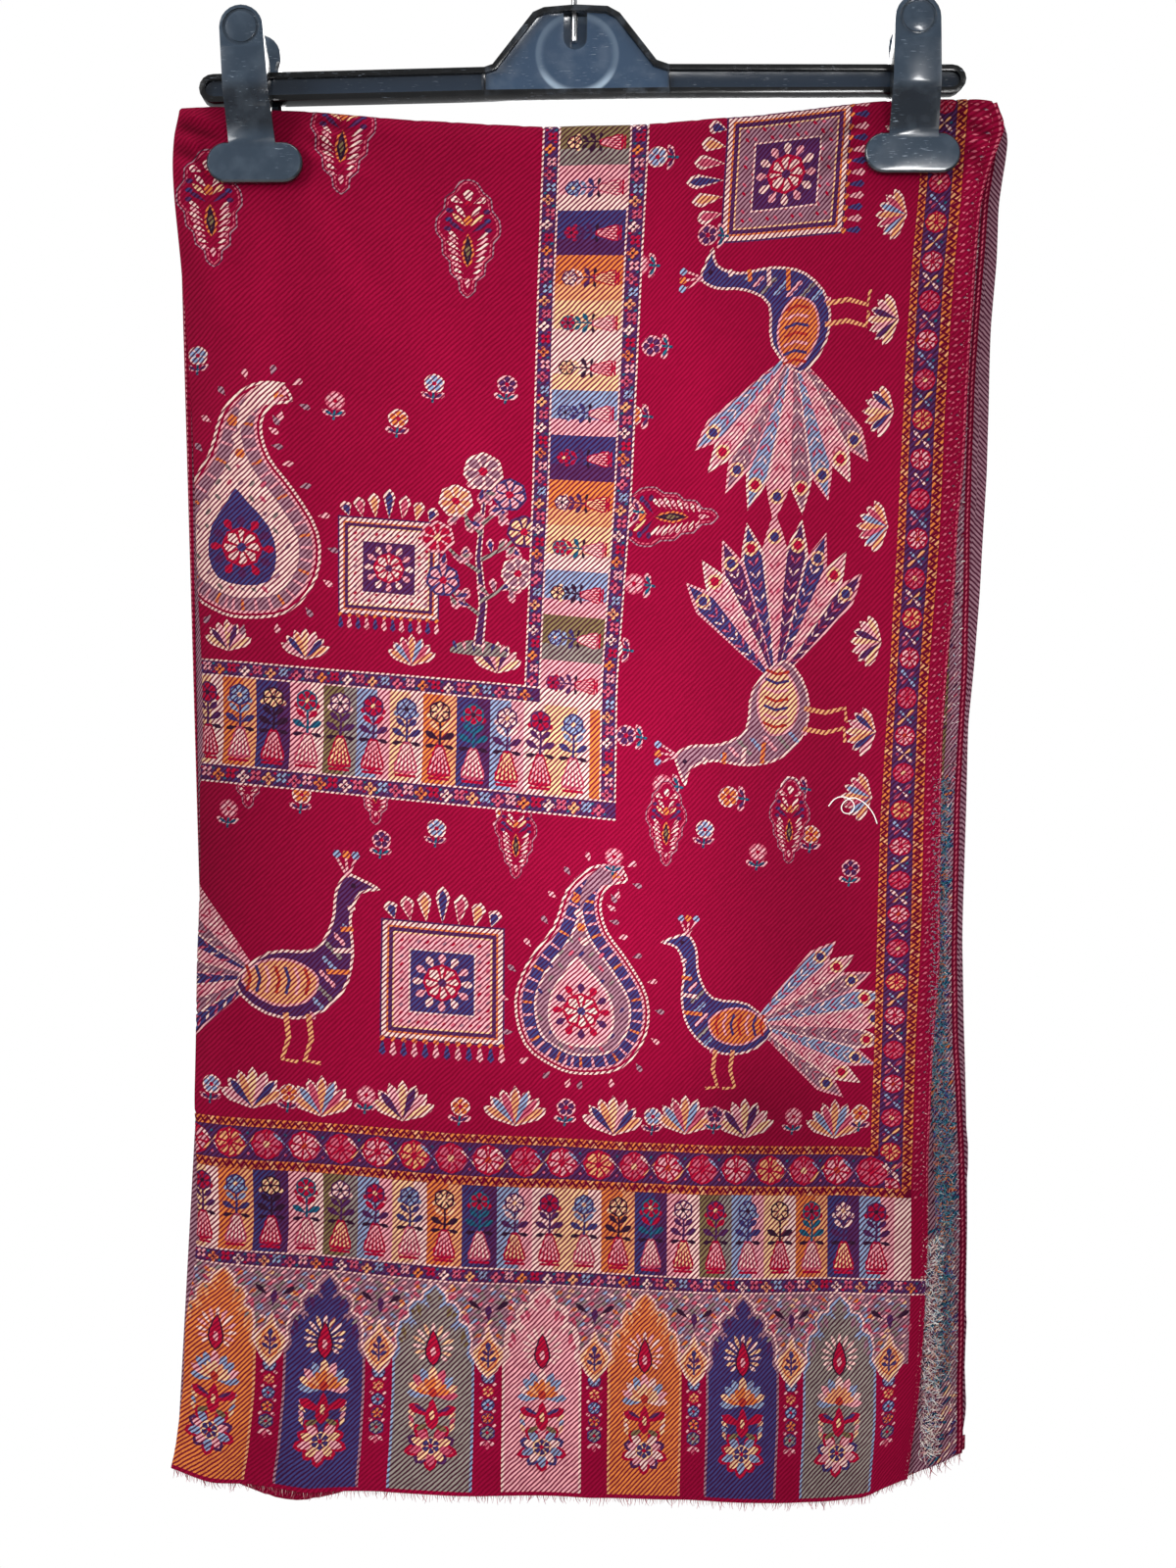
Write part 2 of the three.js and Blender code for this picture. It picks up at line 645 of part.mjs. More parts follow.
// The fringe: a narrow strip just under the hem with one tapered strand at each step.
function fringeGeometry() {
  const columns = columnsFrom(0, 0).length;
  const outerHem = frontRings[0].slice(0, columns);
  const innerHem = frontRings[0].slice(-columns).reverse();
  const middle = outerHem.map((p, i) => p.map((value, k) => (value + innerHem[i][k]) / 2));
  const table = middle.map(([x, y, z]) => ({ x, y, z })).reverse();
  const first = table[0].x + 1;
  const last = table[table.length - 1].x - 0.5;
  const count = Math.floor((last - first) / FRINGE_PITCH);
  const points = [];
  const faces = [];
  const station = (x) => {
    const y = lookUp(table, 'x', x, 'y');
    const z = lookUp(table, 'x', x, 'z') - SEAM_GAP;
    const half = FRINGE_THICKNESS / 2;
    points.push(x, y - half, z, x, y - half, z - FRINGE_STRIP, x, y + half, z - FRINGE_STRIP, x, y + half, z);
  };
  for (let i = 0; i <= count; i += 1) {
    station(first + i * FRINGE_PITCH);
    if (i < count) station(first + i * FRINGE_PITCH + FRINGE_ROOT);
  }
  const stations = 2 * count + 1;
  for (let i = 0; i + 1 < stations; i += 1) {
    const a = i * 4;
    const b = a + 4;
    for (const [from, to] of [[0, 1], [2, 3], [3, 0]]) {
      faces.push(a + from, a + to, b + to, a + from, b + to, b + from);
    }
    if (i % 2 === 1) {
      faces.push(a + 1, a + 2, b + 2, a + 1, b + 2, b + 1);
      continue;
    }
    const strand = i / 2;
    const lean = Math.sin(strand * 2.4) * 0.9;
    const long = FRINGE_LENGTH * (0.82 + 0.18 * Math.sin(strand * 1.7 + 1));
    const x = (points[a * 3] + points[b * 3]) / 2 + lean;
    const y = points[a * 3 + 4] + FRINGE_THICKNESS / 2 + 0.3 * Math.cos(strand * 3.1);
    points.push(x, y, points[a * 3 + 5] - long);
    const tip = points.length / 3 - 1;
    for (const [from, to] of [[a + 1, a + 2], [a + 2, b + 2], [b + 2, b + 1], [b + 1, a + 1]]) {
      faces.push(from, to, tip);
    }
  }
  const end = (stations - 1) * 4;
  faces.push(0, 2, 1, 0, 3, 2);
  faces.push(end, end + 1, end + 2, end, end + 2, end + 3);
  if (volumeOf(points, faces) < 0) faces.reverse();
  const geometry = new THREE.BufferGeometry();
  geometry.setAttribute('position', new THREE.Float32BufferAttribute(points, 3));
  geometry.setIndex(faces);
  geometry.computeVertexNormals();
  return geometry;
}
add('hem_fringe', fringeGeometry(), 0xa8344c, 0.85, 0);

// Joining and cutting of moulded parts.
function toSolid(geometry) {
  const bare = geometry.clone();
  bare.deleteAttribute('normal');
  bare.deleteAttribute('uv');
  const merged = mergeVertices(bare, 1e-4);
  const mesh = new wasm.Mesh({
    numProp: 3,
    vertProperties: new Float32Array(merged.attributes.position.array),
    triVerts: new Uint32Array(merged.index.array),
  });
  return new wasm.Manifold(mesh);
}

function toGeometry(solid) {
  const mesh = solid.getMesh();
  const geometry = new THREE.BufferGeometry();
  geometry.setAttribute('position', new THREE.BufferAttribute(mesh.vertProperties, 3));
  geometry.setIndex(new THREE.BufferAttribute(mesh.triVerts, 1));
  geometry.computeVertexNormals();
  return geometry;
}

function shapeOf(pairs) {
  return new THREE.Shape(pairs.map(([a, b]) => new THREE.Vector2(a, b)));
}

// Across-and-up outline carried from one depth to another.
function plate(outline, frontY, backY) {
  const geometry = new THREE.ExtrudeGeometry(outline instanceof THREE.Shape ? outline : shapeOf(outline), {
    depth: backY - frontY,
    bevelEnabled: false,
    curveSegments: 9,
  });
  geometry.rotateX(Math.PI / 2);
  geometry.translate(0, backY, 0);
  return toSolid(geometry);
}

// Depth-and-up outline carried across from one side to the other.
function rail(outline, leftX, rightX) {
  const geometry = new THREE.ExtrudeGeometry(shapeOf(outline), {
    depth: rightX - leftX,
    bevelEnabled: false,
  });
  geometry.rotateX(Math.PI / 2);
  geometry.rotateZ(Math.PI / 2);
  geometry.translate(leftX, 0, 0);
  return toSolid(geometry);
}

function arc(x, z, radius, fromDegrees, toDegrees, steps) {
  const points = [];
  for (let i = 0; i <= steps; i += 1) {
    const angle = THREE.MathUtils.degToRad(THREE.MathUtils.lerp(fromDegrees, toDegrees, i / steps));
    points.push([x + radius * Math.cos(angle), z + radius * Math.sin(angle)]);
  }
  return points;
}

// The same outline drawn in by a distance on every side.
function drawnIn(outline, distance) {
  return outline.map((point, i) => {
    const before = outline[(i + outline.length - 1) % outline.length];
    const after = outline[(i + 1) % outline.length];
    const a = new THREE.Vector2(point[0] - before[0], point[1] - before[1]).normalize();
    const b = new THREE.Vector2(after[0] - point[0], after[1] - point[1]).normalize();
    const side = new THREE.Vector2(-a.y - b.y, a.x + b.x);
    const stretch = distance / (1 + a.dot(b));
    return [point[0] + side.x * stretch, point[1] + side.y * stretch];
  });
}

const hangerOutline = [
  ...arc(LEFT_BAR_END.x, LEFT_BAR_END.z, BAR_END_RADIUS, 88, 272, 8),
  ...HANGER_BOTTOM.slice().reverse(),
  ...arc(RIGHT_BAR_END.x, RIGHT_BAR_END.z, BAR_END_RADIUS, -90, 90, 8),
  ...HANGER_TOP.slice().reverse(),
];
const halfHanger = HANGER_DEPTH / 2;
const halfWeb = HANGER_WEB / 2;
const recessOutline = drawnIn(hangerOutline, HANGER_RIM);
let recess = plate(recessOutline, -halfHanger - 1, -halfWeb);
recess = recess.add(plate(recessOutline, halfWeb, halfHanger + 1));
for (const x of RIBS) {
  const rib = [
    [x - RIB_WIDTH / 2, LEFT_BAR_END.z - 10],
    [x + RIB_WIDTH / 2, LEFT_BAR_END.z - 10],
    [x + RIB_WIDTH / 2, LEFT_BAR_END.z + 20],
    [x - RIB_WIDTH / 2, LEFT_BAR_END.z + 20],
  ];
  recess = recess.subtract(plate(rib, -halfHanger + 1, halfHanger - 1));
}
let hanger = plate(hangerOutline, -halfHanger, halfHanger).subtract(recess);
const bossOutline = [
  [SLOT.x - BOSS.width / 2, BOSS.bottom],
  [SLOT.x + BOSS.width / 2, BOSS.bottom],
  [SLOT.x + BOSS.width / 2, BOSS.top],
  [SLOT.x - BOSS.width / 2, BOSS.top],
];
hanger = hanger.add(plate(bossOutline, halfWeb - 0.5, halfHanger));
const dishProfile = [new THREE.Vector2(0, -DISH.depth), new THREE.Vector2(DISH.radius, -DISH.depth)];
for (const share of [1, 0.85, 0.6, 0.3, 0]) {
  dishProfile.push(new THREE.Vector2(DISH.radius * share, DISH.depth * (1 - share ** 2)));
}
const dish = new THREE.LatheGeometry(dishProfile, 24);
dish.translate(DISH.x, -halfWeb, DISH.z);
const inNeck = plate(recessOutline, -halfWeb - 1, halfWeb);
hanger = hanger.subtract(toSolid(dish).intersect(inNeck));
const slotRadius = SLOT.width / 2;
const slotOutline = [
  [SLOT.x + slotRadius, SLOT.top],
  [SLOT.x - slotRadius, SLOT.top],
  ...arc(SLOT.x, SLOT.bottom + slotRadius, slotRadius, 180, 360, 8),
];
hanger = hanger.subtract(plate(slotOutline, -halfHanger - 1, SLOT.floor));
const hole = new THREE.CylinderGeometry(WIRE_RADIUS + WIRE_HOLE, WIRE_RADIUS + WIRE_HOLE, 10, 12);
hole.rotateX(Math.PI / 2);
hole.translate(SHANK_X, 0, SLOT.top + 2);
hanger = hanger.subtract(toSolid(hole));
add('hanger_bar', toGeometry(hanger), 0x1b1f26, 0.3, 0);

// The hook: up through the neck, out to the right and over to an open end at the left.
const hookPath = [
  new THREE.Vector3(SHANK_X, 0, SHANK_END),
  new THREE.Vector3(SHANK_X, 0, -66),
  new THREE.Vector3(SHANK_X, 0, -56),
  new THREE.Vector3(SHANK_X + 1.2, 0, -48),
];
const hookCurve = HOOK_INNER_RADIUS + WIRE_RADIUS;
for (let degrees = -48; degrees <= 192; degrees += 24) {
  const angle = THREE.MathUtils.degToRad(degrees);
  const z = -HOOK_INNER_RADIUS + hookCurve * Math.sin(angle);
  hookPath.push(new THREE.Vector3(hookCurve * Math.cos(angle), 0, z));
}
const wireSection = new THREE.Shape();
wireSection.absarc(0, 0, WIRE_RADIUS, 0, 2 * Math.PI, false);
const hook = new THREE.ExtrudeGeometry(wireSection, {
  steps: WIRE_STEPS,
  extrudePath: new THREE.CatmullRomCurve3(hookPath, false, 'centripetal'),
  curveSegments: WIRE_SIDES / 2,
});
add('hook', toGeometry(toSolid(hook)), 0xb8bcc2, 0.25, 1);

// One arm of a clip, front one; the rear one is its mirror image.
function clipArm(clip) {
  const raise = ([y, up]) => [y, clip.padZ + up];
  const face = ARM_FACE.map(raise);
  const reachSide = PAD.width;
  const sideView = rail(
    face.concat(ARM_BACK.map(raise).reverse()),
    clip.padX - reachSide,
    clip.padX + reachSide,
  );
  const round = clip.topWidth / 2;
  const sleeve = [
    [clip.footX - clip.footWidth / 2, clip.padZ],
    [clip.footX + clip.footWidth / 2, clip.padZ],
    ...arc(clip.topX, clip.topZ, round, 0, 180, 12),
  ];
  const sleevePlate = plate(sleeve, -PAD.width, 0);
  const lever = halfHanger + BAR_CLEARANCE;
  const wing = [
    [-16, clip.topZ - 2],
    [-lever, clip.padZ + LEVER_TOP],
    [-lever, clip.padZ + LEVER_FOOT],
    ...LEVER_BACK.map(raise).reverse(),
  ];
  const wings = rail(wing, clip.padX - reachSide, clip.padX + reachSide).intersect(sleevePlate);
  const channel = plate(drawnIn(sleeve, ARM_SIDE_WALL), -PAD.width, 0);
  let arm = sideView.intersect(sleevePlate).add(wings.subtract(channel));
  const padShape = new THREE.Shape();
  const half = PAD.height / 2 - PAD.bevel;
  const reach = PAD.width / 2 - PAD.height / 2;
  padShape.absarc(-reach, 0, half, Math.PI / 2, 1.5 * Math.PI, false);
  padShape.absarc(reach, 0, half, -Math.PI / 2, Math.PI / 2, false);
  const pad = new THREE.ExtrudeGeometry(padShape, {
    depth: PAD.thickness - 2 * PAD.bevel,
    bevelThickness: PAD.bevel,
    bevelSize: PAD.bevel,
    bevelSegments: 1,
    curveSegments: 7,
  });
  pad.rotateX(Math.PI / 2);
  pad.translate(clip.padX, -PINCHED_HALF_DEPTH - PAD_CLEARANCE - PAD.bevel, clip.padZ);
  arm = arm.add(toSolid(pad));
  const groove = new THREE.Shape();
  groove.absarc(clip.topX, clip.topZ, DISC_GROOVE.outer, 0, 2 * Math.PI, false);
  const disc = new THREE.Path();
  disc.absarc(clip.topX, clip.topZ, DISC_GROOVE.inner, 0, 2 * Math.PI, true);
  groove.holes.push(disc);
  const faceY = lookUp(face.map(([y, z]) => ({ y, z })), 'z', clip.topZ, 'y');
  return arm.subtract(plate(groove, faceY - 3, faceY + DISC_GROOVE.depth));
}

function springGeometry(clip) {
  const path = [];
  const steps = SPRING.turns * 8;
  for (let i = 0; i <= steps; i += 1) {
    const angle = (2 * Math.PI * i) / 8;
    const y = THREE.MathUtils.lerp(-SPRING.half + SPRING.wire, SPRING.half - SPRING.wire, i / steps);
    const x = clip.topX + REAR_ARM_SHIFT / 2 + SPRING.radius * Math.cos(angle);
    path.push(new THREE.Vector3(x, y, clip.topZ + SPRING.radius * Math.sin(angle)));
  }
  const wire = new THREE.Shape();
  wire.absarc(0, 0, SPRING.wire, 0, 2 * Math.PI, false);
  return new THREE.ExtrudeGeometry(wire, {
    steps,
    extrudePath: new THREE.CatmullRomCurve3(path),
    curveSegments: 3,
  });
}

for (const clip of CLIPS) {
  const arm = clipArm(clip);
  add(`clip_${clip.side}_front`, toGeometry(arm), 0x4a5260, 0.35, 0);
  const rearArm = arm.mirror([0, 1, 0]).translate([REAR_ARM_SHIFT, 0, 0]);
  add(`clip_${clip.side}_rear`, toGeometry(rearArm), 0x4a5260, 0.35, 0);
  add(`clip_${clip.side}_spring`, toGeometry(toSolid(springGeometry(clip))), 0x8a8d92, 0.3, 1);
}

export default group;
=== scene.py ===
from math import atan2, cos, hypot, pi, radians, sin

import bpy
import numpy as np
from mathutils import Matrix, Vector
from mathutils.geometry import delaunay_2d_cdt


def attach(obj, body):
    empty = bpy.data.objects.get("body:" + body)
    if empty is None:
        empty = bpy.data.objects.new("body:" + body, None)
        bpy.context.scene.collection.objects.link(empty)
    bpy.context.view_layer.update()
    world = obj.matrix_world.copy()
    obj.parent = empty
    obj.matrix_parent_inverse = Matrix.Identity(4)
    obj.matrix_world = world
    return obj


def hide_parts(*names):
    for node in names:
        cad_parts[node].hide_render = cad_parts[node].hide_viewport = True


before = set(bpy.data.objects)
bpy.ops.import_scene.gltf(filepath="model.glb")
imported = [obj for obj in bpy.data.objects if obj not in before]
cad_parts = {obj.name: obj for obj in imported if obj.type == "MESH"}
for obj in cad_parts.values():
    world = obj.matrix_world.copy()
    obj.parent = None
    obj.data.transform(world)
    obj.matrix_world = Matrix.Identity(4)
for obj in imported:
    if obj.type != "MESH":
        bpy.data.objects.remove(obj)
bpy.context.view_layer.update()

# The room: a pale studio floor, a white surround, two large soft lamps in front,
# one behind and one above, and the camera level with the middle of the shawl.
MM = 0.001
SHOT_FROM = (0.00465, -0.820, -0.4318)
SHOT_DISTANCE = 0.812
SHOT_HEIGHT = 0.744
SENSOR = 36.0
FLOOR_LEVEL = -1.30
FLOOR_SIZE = 1.7

scene = bpy.context.scene
scene.view_settings.view_transform = "Standard"

camera_data = bpy.data.cameras.new("studio_camera")
camera_data.sensor_width = SENSOR
camera_data.sensor_fit = "AUTO"
camera_data.lens = SENSOR * SHOT_DISTANCE / SHOT_HEIGHT
camera = bpy.data.objects.new("studio_camera", camera_data)
camera.location = SHOT_FROM
camera.rotation_euler = (radians(90), 0, 0)
scene.collection.objects.link(camera)
scene.camera = camera


def lamp(name, place, aim, size, watts):
    data = bpy.data.lights.new(name, "AREA")
    data.shape = "RECTANGLE"
    data.size, data.size_y = size
    data.energy = watts
    light = bpy.data.objects.new(name, data)
    light.location = place
    turn = (Vector(aim) - Vector(place)).to_track_quat("-Z", "Y")
    light.rotation_euler = turn.to_euler()
    scene.collection.objects.link(light)


lamp("window_left", (-1.75, -1.05, 0.30), (0, 0, -0.42), (1.0, 1.5), 36)
lamp("window_right", (1.5, -1.3, -0.1), (0, 0, -0.45), (0.9, 1.4), 6)
lamp("window_back", (0.5, 1.8, 0.3), (0, 0, -0.42), (1.4, 1.4), 26)
lamp("window_top", (0.0, -0.3, 1.1), (0, 0, -0.3), (1.2, 0.8), 10)

# One round softbox lifts the middle of the cloth and falls off towards its sides.
pool_data = bpy.data.lights.new("round_softbox", "SPOT")
pool_data.energy = 100
pool_data.spot_size = radians(25)
pool_data.spot_blend = 1.0
pool_data.shadow_soft_size = 0.25
pool = bpy.data.objects.new("round_softbox", pool_data)
pool.location = (0.45, -1.55, -0.15)
pool.rotation_euler = (Vector((0.03, 0, -0.43)) - pool.location).to_track_quat("-Z", "Y").to_euler()
scene.collection.objects.link(pool)

world = bpy.data.worlds.new("white_room")
world.use_nodes = True
scene.world = world
room = world.node_tree
room.nodes.clear()
seen = room.nodes.new("ShaderNodeBackground")
seen.inputs["Color"].default_value = (1, 1, 1, 1)
seen.inputs["Strength"].default_value = 1.0
felt = room.nodes.new("ShaderNodeBackground")
felt.inputs["Color"].default_value = (0.95, 0.97, 1.0, 1)
felt.inputs["Strength"].default_value = 0.25
choice = room.nodes.new("ShaderNodeMixShader")
path = room.nodes.new("ShaderNodeLightPath")
room_out = room.nodes.new("ShaderNodeOutputWorld")
room.links.new(path.outputs["Is Camera Ray"], choice.inputs[0])
room.links.new(felt.outputs[0], choice.inputs[1])
room.links.new(seen.outputs[0], choice.inputs[2])
room.links.new(choice.outputs[0], room_out.inputs["Surface"])


def nodes_of(name):
    """A new material with an empty tree, its Principled shader and its output."""
    material = bpy.data.materials.new(name)
    material.use_nodes = True
    tree = material.node_tree
    tree.nodes.clear()
    shader = tree.nodes.new("ShaderNodeBsdfPrincipled")
    output = tree.nodes.new("ShaderNodeOutputMaterial")
    tree.links.new(shader.outputs[0], output.inputs["Surface"])
    return material, tree, shader


floor_mesh = bpy.data.meshes.new("studio_floor")
half = FLOOR_SIZE / 2
floor_mesh.from_pydata(
    [(-half, -half, FLOOR_LEVEL), (half, -half, FLOOR_LEVEL),
     (half, half, FLOOR_LEVEL), (-half, half, FLOOR_LEVEL)], [], [(0, 1, 2, 3)])
floor = bpy.data.objects.new("studio_floor", floor_mesh)
scene.collection.objects.link(floor)
paint, tree, shader = nodes_of("pale_floor")
shader.inputs["Base Color"].default_value = (0.82, 0.82, 0.81, 1)
shader.inputs["Roughness"].default_value = 0.7
floor_mesh.materials.append(paint)


# The hanger: a black plastic bar of I section with a raised neck, injection moulded in one
# piece. Its rims are glossy, its sunk web is satin and carries fine scuffs from use.
def shader_group(name, inputs, outputs):
    """An empty shader group with its named sockets."""
    group = bpy.data.node_groups.new(name, "ShaderNodeTree")
    for label, kind, value in inputs:
        socket = group.interface.new_socket(name=label, in_out="INPUT", socket_type=kind)
        if value is not None:
            socket.default_value = value
    for label, kind in outputs:
        group.interface.new_socket(name=label, in_out="OUTPUT", socket_type=kind)
    return group, group.nodes.new("NodeGroupInput"), group.nodes.new("NodeGroupOutput")


def calc(tree, operation, first, second=None, third=None):
    """One Math node; numbers and sockets may be mixed."""
    node = tree.nodes.new("ShaderNodeMath")
    node.operation = operation
    for socket, value in zip(node.inputs, (first, second, third)):
        if value is None:
            continue
        if isinstance(value, (int, float)):
            socket.default_value = value
        else:
            tree.links.new(value, socket)
    return node.outputs[0]


def blend_colour(tree, share, first, second):
    """A colour between two, by a share."""
    node = tree.nodes.new("ShaderNodeMix")
    node.data_type = "RGBA"
    for socket, value in ((node.inputs[0], share), (node.inputs[6], first), (node.inputs[7], second)):
        if isinstance(value, (int, float, tuple)):
            socket.default_value = value
        else:
            tree.links.new(value, socket)
    return node.outputs[2]


def ramp_between(tree, value, low, high):
    """Zero below low, one above high, soft between."""
    node = tree.nodes.new("ShaderNodeMapRange")
    node.interpolation_type = "SMOOTHSTEP"
    tree.links.new(value, node.inputs["Value"])
    node.inputs["From Min"].default_value = low
    node.inputs["From Max"].default_value = high
    return node.outputs[0]


def noise_at(tree, vector, scale, detail=2.0):
    node = tree.nodes.new("ShaderNodeTexNoise")
    node.inputs["Scale"].default_value = scale
    node.inputs["Detail"].default_value = detail
    if vector is not None:
        tree.links.new(vector, node.inputs["Vector"])
    return node.outputs["Fac"]


def place_group(tree, group, **values):
    node = tree.nodes.new("ShaderNodeGroup")
    node.node_tree = group
    for label, value in values.items():
        socket = node.inputs[label.replace("_", " ")]
        if isinstance(value, (int, float, tuple)):
            socket.default_value = value
        else:
            tree.links.new(value, socket)
    return node


def linear(red, green, blue):
    """A dye given in the eight-bit steps of a colour card, as light."""
    steps = [c / 255 for c in (red, green, blue)]
    return tuple(c / 12.92 if c <= 0.04045 else ((c + 0.055) / 1.055) ** 2.4 for c in steps) + (1.0,)


moulding, into, out = shader_group(
    "moulded_plastic",
    [("Colour", "NodeSocketColor", (0.02, 0.022, 0.026, 1)),
     ("Worn Colour", "NodeSocketColor", (0.2, 0.24, 0.3, 1)),
     ("Gloss", "NodeSocketFloat", 0.25), ("Scuffs", "NodeSocketFloat", 0.5), ("Haze", "NodeSocketFloat", 0.1)],
    [("Colour", "NodeSocketColor"), ("Roughness", "NodeSocketFloat"), ("Height", "NodeSocketFloat")])
where = moulding.nodes.new("ShaderNodeTexCoord").outputs["Object"]
stretch = moulding.nodes.new("ShaderNodeMapping")
stretch.inputs["Rotation"].default_value = (0.1, 0.5, 0.2)
stretch.inputs["Scale"].default_value = (0.25, 1, 2.4)
moulding.links.new(where, stretch.inputs["Vector"])
scratches = ramp_between(moulding, noise_at(moulding, stretch.outputs[0], 900, 3), 0.62, 0.72)
patches = ramp_between(moulding, noise_at(moulding, where, 60, 3), 0.45, 0.7)
marks = calc(moulding, "MULTIPLY", calc(moulding, "MULTIPLY", scratches, patches), into.outputs["Scuffs"])
hazy = calc(moulding, "MULTIPLY", ramp_between(moulding, noise_at(moulding, where, 110, 4), 0.42, 0.72),
            into.outputs["Haze"])
hazed = blend_colour(moulding, hazy, into.outputs["Colour"], into.outputs["Worn Colour"])
colour = blend_colour(moulding, marks, hazed, into.outputs["Worn Colour"])
moulding.links.new(colour, out.inputs["Colour"])
cloudy = calc(moulding, "MULTIPLY", noise_at(moulding, where, 130, 4), 0.16)
rough = calc(moulding, "ADD", calc(moulding, "ADD", into.outputs["Gloss"], cloudy),
             calc(moulding, "MULTIPLY", marks, 0.25))
moulding.links.new(rough, out.inputs["Roughness"])
sinks = calc(moulding, "MULTIPLY", noise_at(moulding, where, 75, 1), 9.0)
fine_grain = calc(moulding, "MULTIPLY", noise_at(moulding, where, 2200, 1), 0.25)
grain = calc(moulding, "SUBTRACT", calc(moulding, "ADD", sinks, fine_grain), marks)
moulding.links.new(grain, out.inputs["Height"])


def bump(tree, shader, height, distance, strength=1.0):
    node = tree.nodes.new("ShaderNodeBump")
    node.inputs["Strength"].default_value = strength
    node.inputs["Distance"].default_value = distance
    tree.links.new(height, node.inputs["Height"])
    tree.links.new(node.outputs[0], shader.inputs["Normal"])


def surface(tree, shader, group, depth):
    """Gives a shader the colour, gloss and relief that a group works out."""
    tree.links.new(group.outputs["Colour"], shader.inputs["Base Color"])
    tree.links.new(group.outputs["Roughness"], shader.inputs["Roughness"])
    bump(tree, shader, group.outputs["Height"], depth)


def placed(name, mesh):
    """A piece made of a mesh, in the scene."""
    piece = bpy.data.objects.new(name, mesh)
    scene.collection.objects.link(piece)
    return piece


def softened(source, name, width, material, angle=28):
    """A merged copy of a moulded part with its edges rounded over."""
    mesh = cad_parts[source].data.copy()
    mesh.name = name
    mesh.materials.clear()
    mesh.materials.append(material)
    piece = placed(name, mesh)
    weld = piece.modifiers.new("weld", "WELD")
    weld.merge_threshold = 0.00002
    edge = piece.modifiers.new("edges", "BEVEL")
    edge.width = width
    edge.segments = 2
    edge.limit_method = "ANGLE"
    edge.angle_limit = radians(angle)
    edge.harden_normals = False
    shape = bpy.data.meshes.new_from_object(piece.evaluated_get(bpy.context.evaluated_depsgraph_get()))
    piece.modifiers.clear()
    piece.data = shape
    shape.name = name
    shape.polygons.foreach_set("use_smooth", [True] * len(shape.polygons))
    shape.set_sharp_from_angle(angle=radians(40))
    facing = np.zeros(len(shape.loops) * 3)
    shape.corner_normals.foreach_get("vector", facing)
    level = shape.attributes.new("face_on", "FLOAT", "CORNER")
    level.data.foreach_set("value", np.abs(facing[1::3]))
    return piece


def attribute(tree, name, output="Fac"):
    node = tree.nodes.new("ShaderNodeAttribute")
    node.attribute_name = name
    return node.outputs[output]


def falls(tree, value, low, high):
    """One below low, zero above high, soft between."""
    return calc(tree, "SUBTRACT", 1, ramp_between(tree, value, low, high))


def on_edges(tree):
    """One on the sides and rounded edges of a moulding, zero on its broad faces; the mouldings use it to paint their
    sides near-black, a painted shade.
    """
    return falls(tree, attribute(tree, "face_on"), 0.55, 0.93)


RIM_DEPTH = 0.0036
WEB_DEPTH = 0.0024
NECK_SHIFT = 0.0005
NECK_HALF = 0.0440
DISH_DROP = 0.0826
bar_plastic, tree, shader = nodes_of("bar_plastic")
spot = tree.nodes.new("ShaderNodeSeparateXYZ")
tree.links.new(tree.nodes.new("ShaderNodeTexCoord").outputs["Object"], spot.inputs[0])
depth = calc(tree, "ABSOLUTE", spot.outputs["Y"])
on_rim = ramp_between(tree, depth, WEB_DEPTH, RIM_DEPTH)
aside = calc(tree, "ABSOLUTE", calc(tree, "ADD", spot.outputs["X"], NECK_SHIFT))
on_neck = falls(tree, aside, NECK_HALF - 0.0002, NECK_HALF + 0.0002)
seam = calc(tree, "MULTIPLY", ramp_between(tree, aside, NECK_HALF - 0.0004, NECK_HALF - 0.0001),
            falls(tree, aside, NECK_HALF + 0.0003, NECK_HALF + 0.0006))
slate = blend_colour(tree, on_neck, linear(36, 48, 63), linear(56, 76, 100))
# Painted highlight: a bright crescent painted on the rim of the round dish in the neck, strongest along its lower
# part.
from_dish = calc(tree, "SQRT", calc(tree, "ADD", calc(tree, "POWER", aside, 2),
                                    calc(tree, "POWER", calc(tree, "ADD", spot.outputs["Z"], DISH_DROP), 2)))
lip = calc(tree, "MULTIPLY", ramp_between(tree, from_dish, 0.0155, 0.0188), falls(tree, from_dish, 0.0192, 0.0206))
low = falls(tree, spot.outputs["Z"], -0.097, -0.088)
glow = calc(tree, "MULTIPLY", lip, calc(tree, "ADD", 0.18, calc(tree, "MULTIPLY", low, 0.62)))
slate = blend_colour(tree, glow, slate, linear(176, 196, 214))
face = blend_colour(tree, calc(tree, "MAXIMUM", on_rim, seam), slate, linear(7, 8, 10))
# Painted shade: the sides and rounded edges, turned away from the broad faces, are painted near-black.
face = blend_colour(tree, on_edges(tree), face, linear(5, 6, 7))
plain = place_group(tree, moulding, Colour=face, Gloss=0.16, Scuffs=1.0, Haze=calc(tree, "MULTIPLY", on_neck, 0.2))
shader.inputs["Coat Weight"].default_value = 0.5
shader.inputs["Coat Roughness"].default_value = 0.08
surface(tree, shader, plain, 0.00003)
bar = softened("hanger_bar", "hanger_moulding", 0.00045, bar_plastic)
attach(bar, "root")
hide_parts("hanger_bar")

# The hook: one length of zinc-plated steel wire, bent round a former and pressed into
# the neck, drawn bright with fine lines along it.
steel, tree, shader = nodes_of("plated_wire")
where = tree.nodes.new("ShaderNodeTexCoord").outputs["Object"]
drawn = noise_at(tree, where, 1500, 2)
dull = ramp_between(tree, noise_at(tree, where, 90, 3), 0.4, 0.75)
tree.links.new(blend_colour(tree, dull, (0.62, 0.63, 0.65, 1), (0.38, 0.37, 0.36, 1)), shader.inputs["Base Color"])
tree.links.new(calc(tree, "ADD", 0.18, calc(tree, "MULTIPLY", drawn, 0.2)), shader.inputs["Roughness"])
shader.inputs["Metallic"].default_value = 1.0
bump(tree, shader, drawn, 0.00002)
hook = softened("hook", "hook_wire", 0.0001, steel, 60)
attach(hook, "root")
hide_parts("hook")

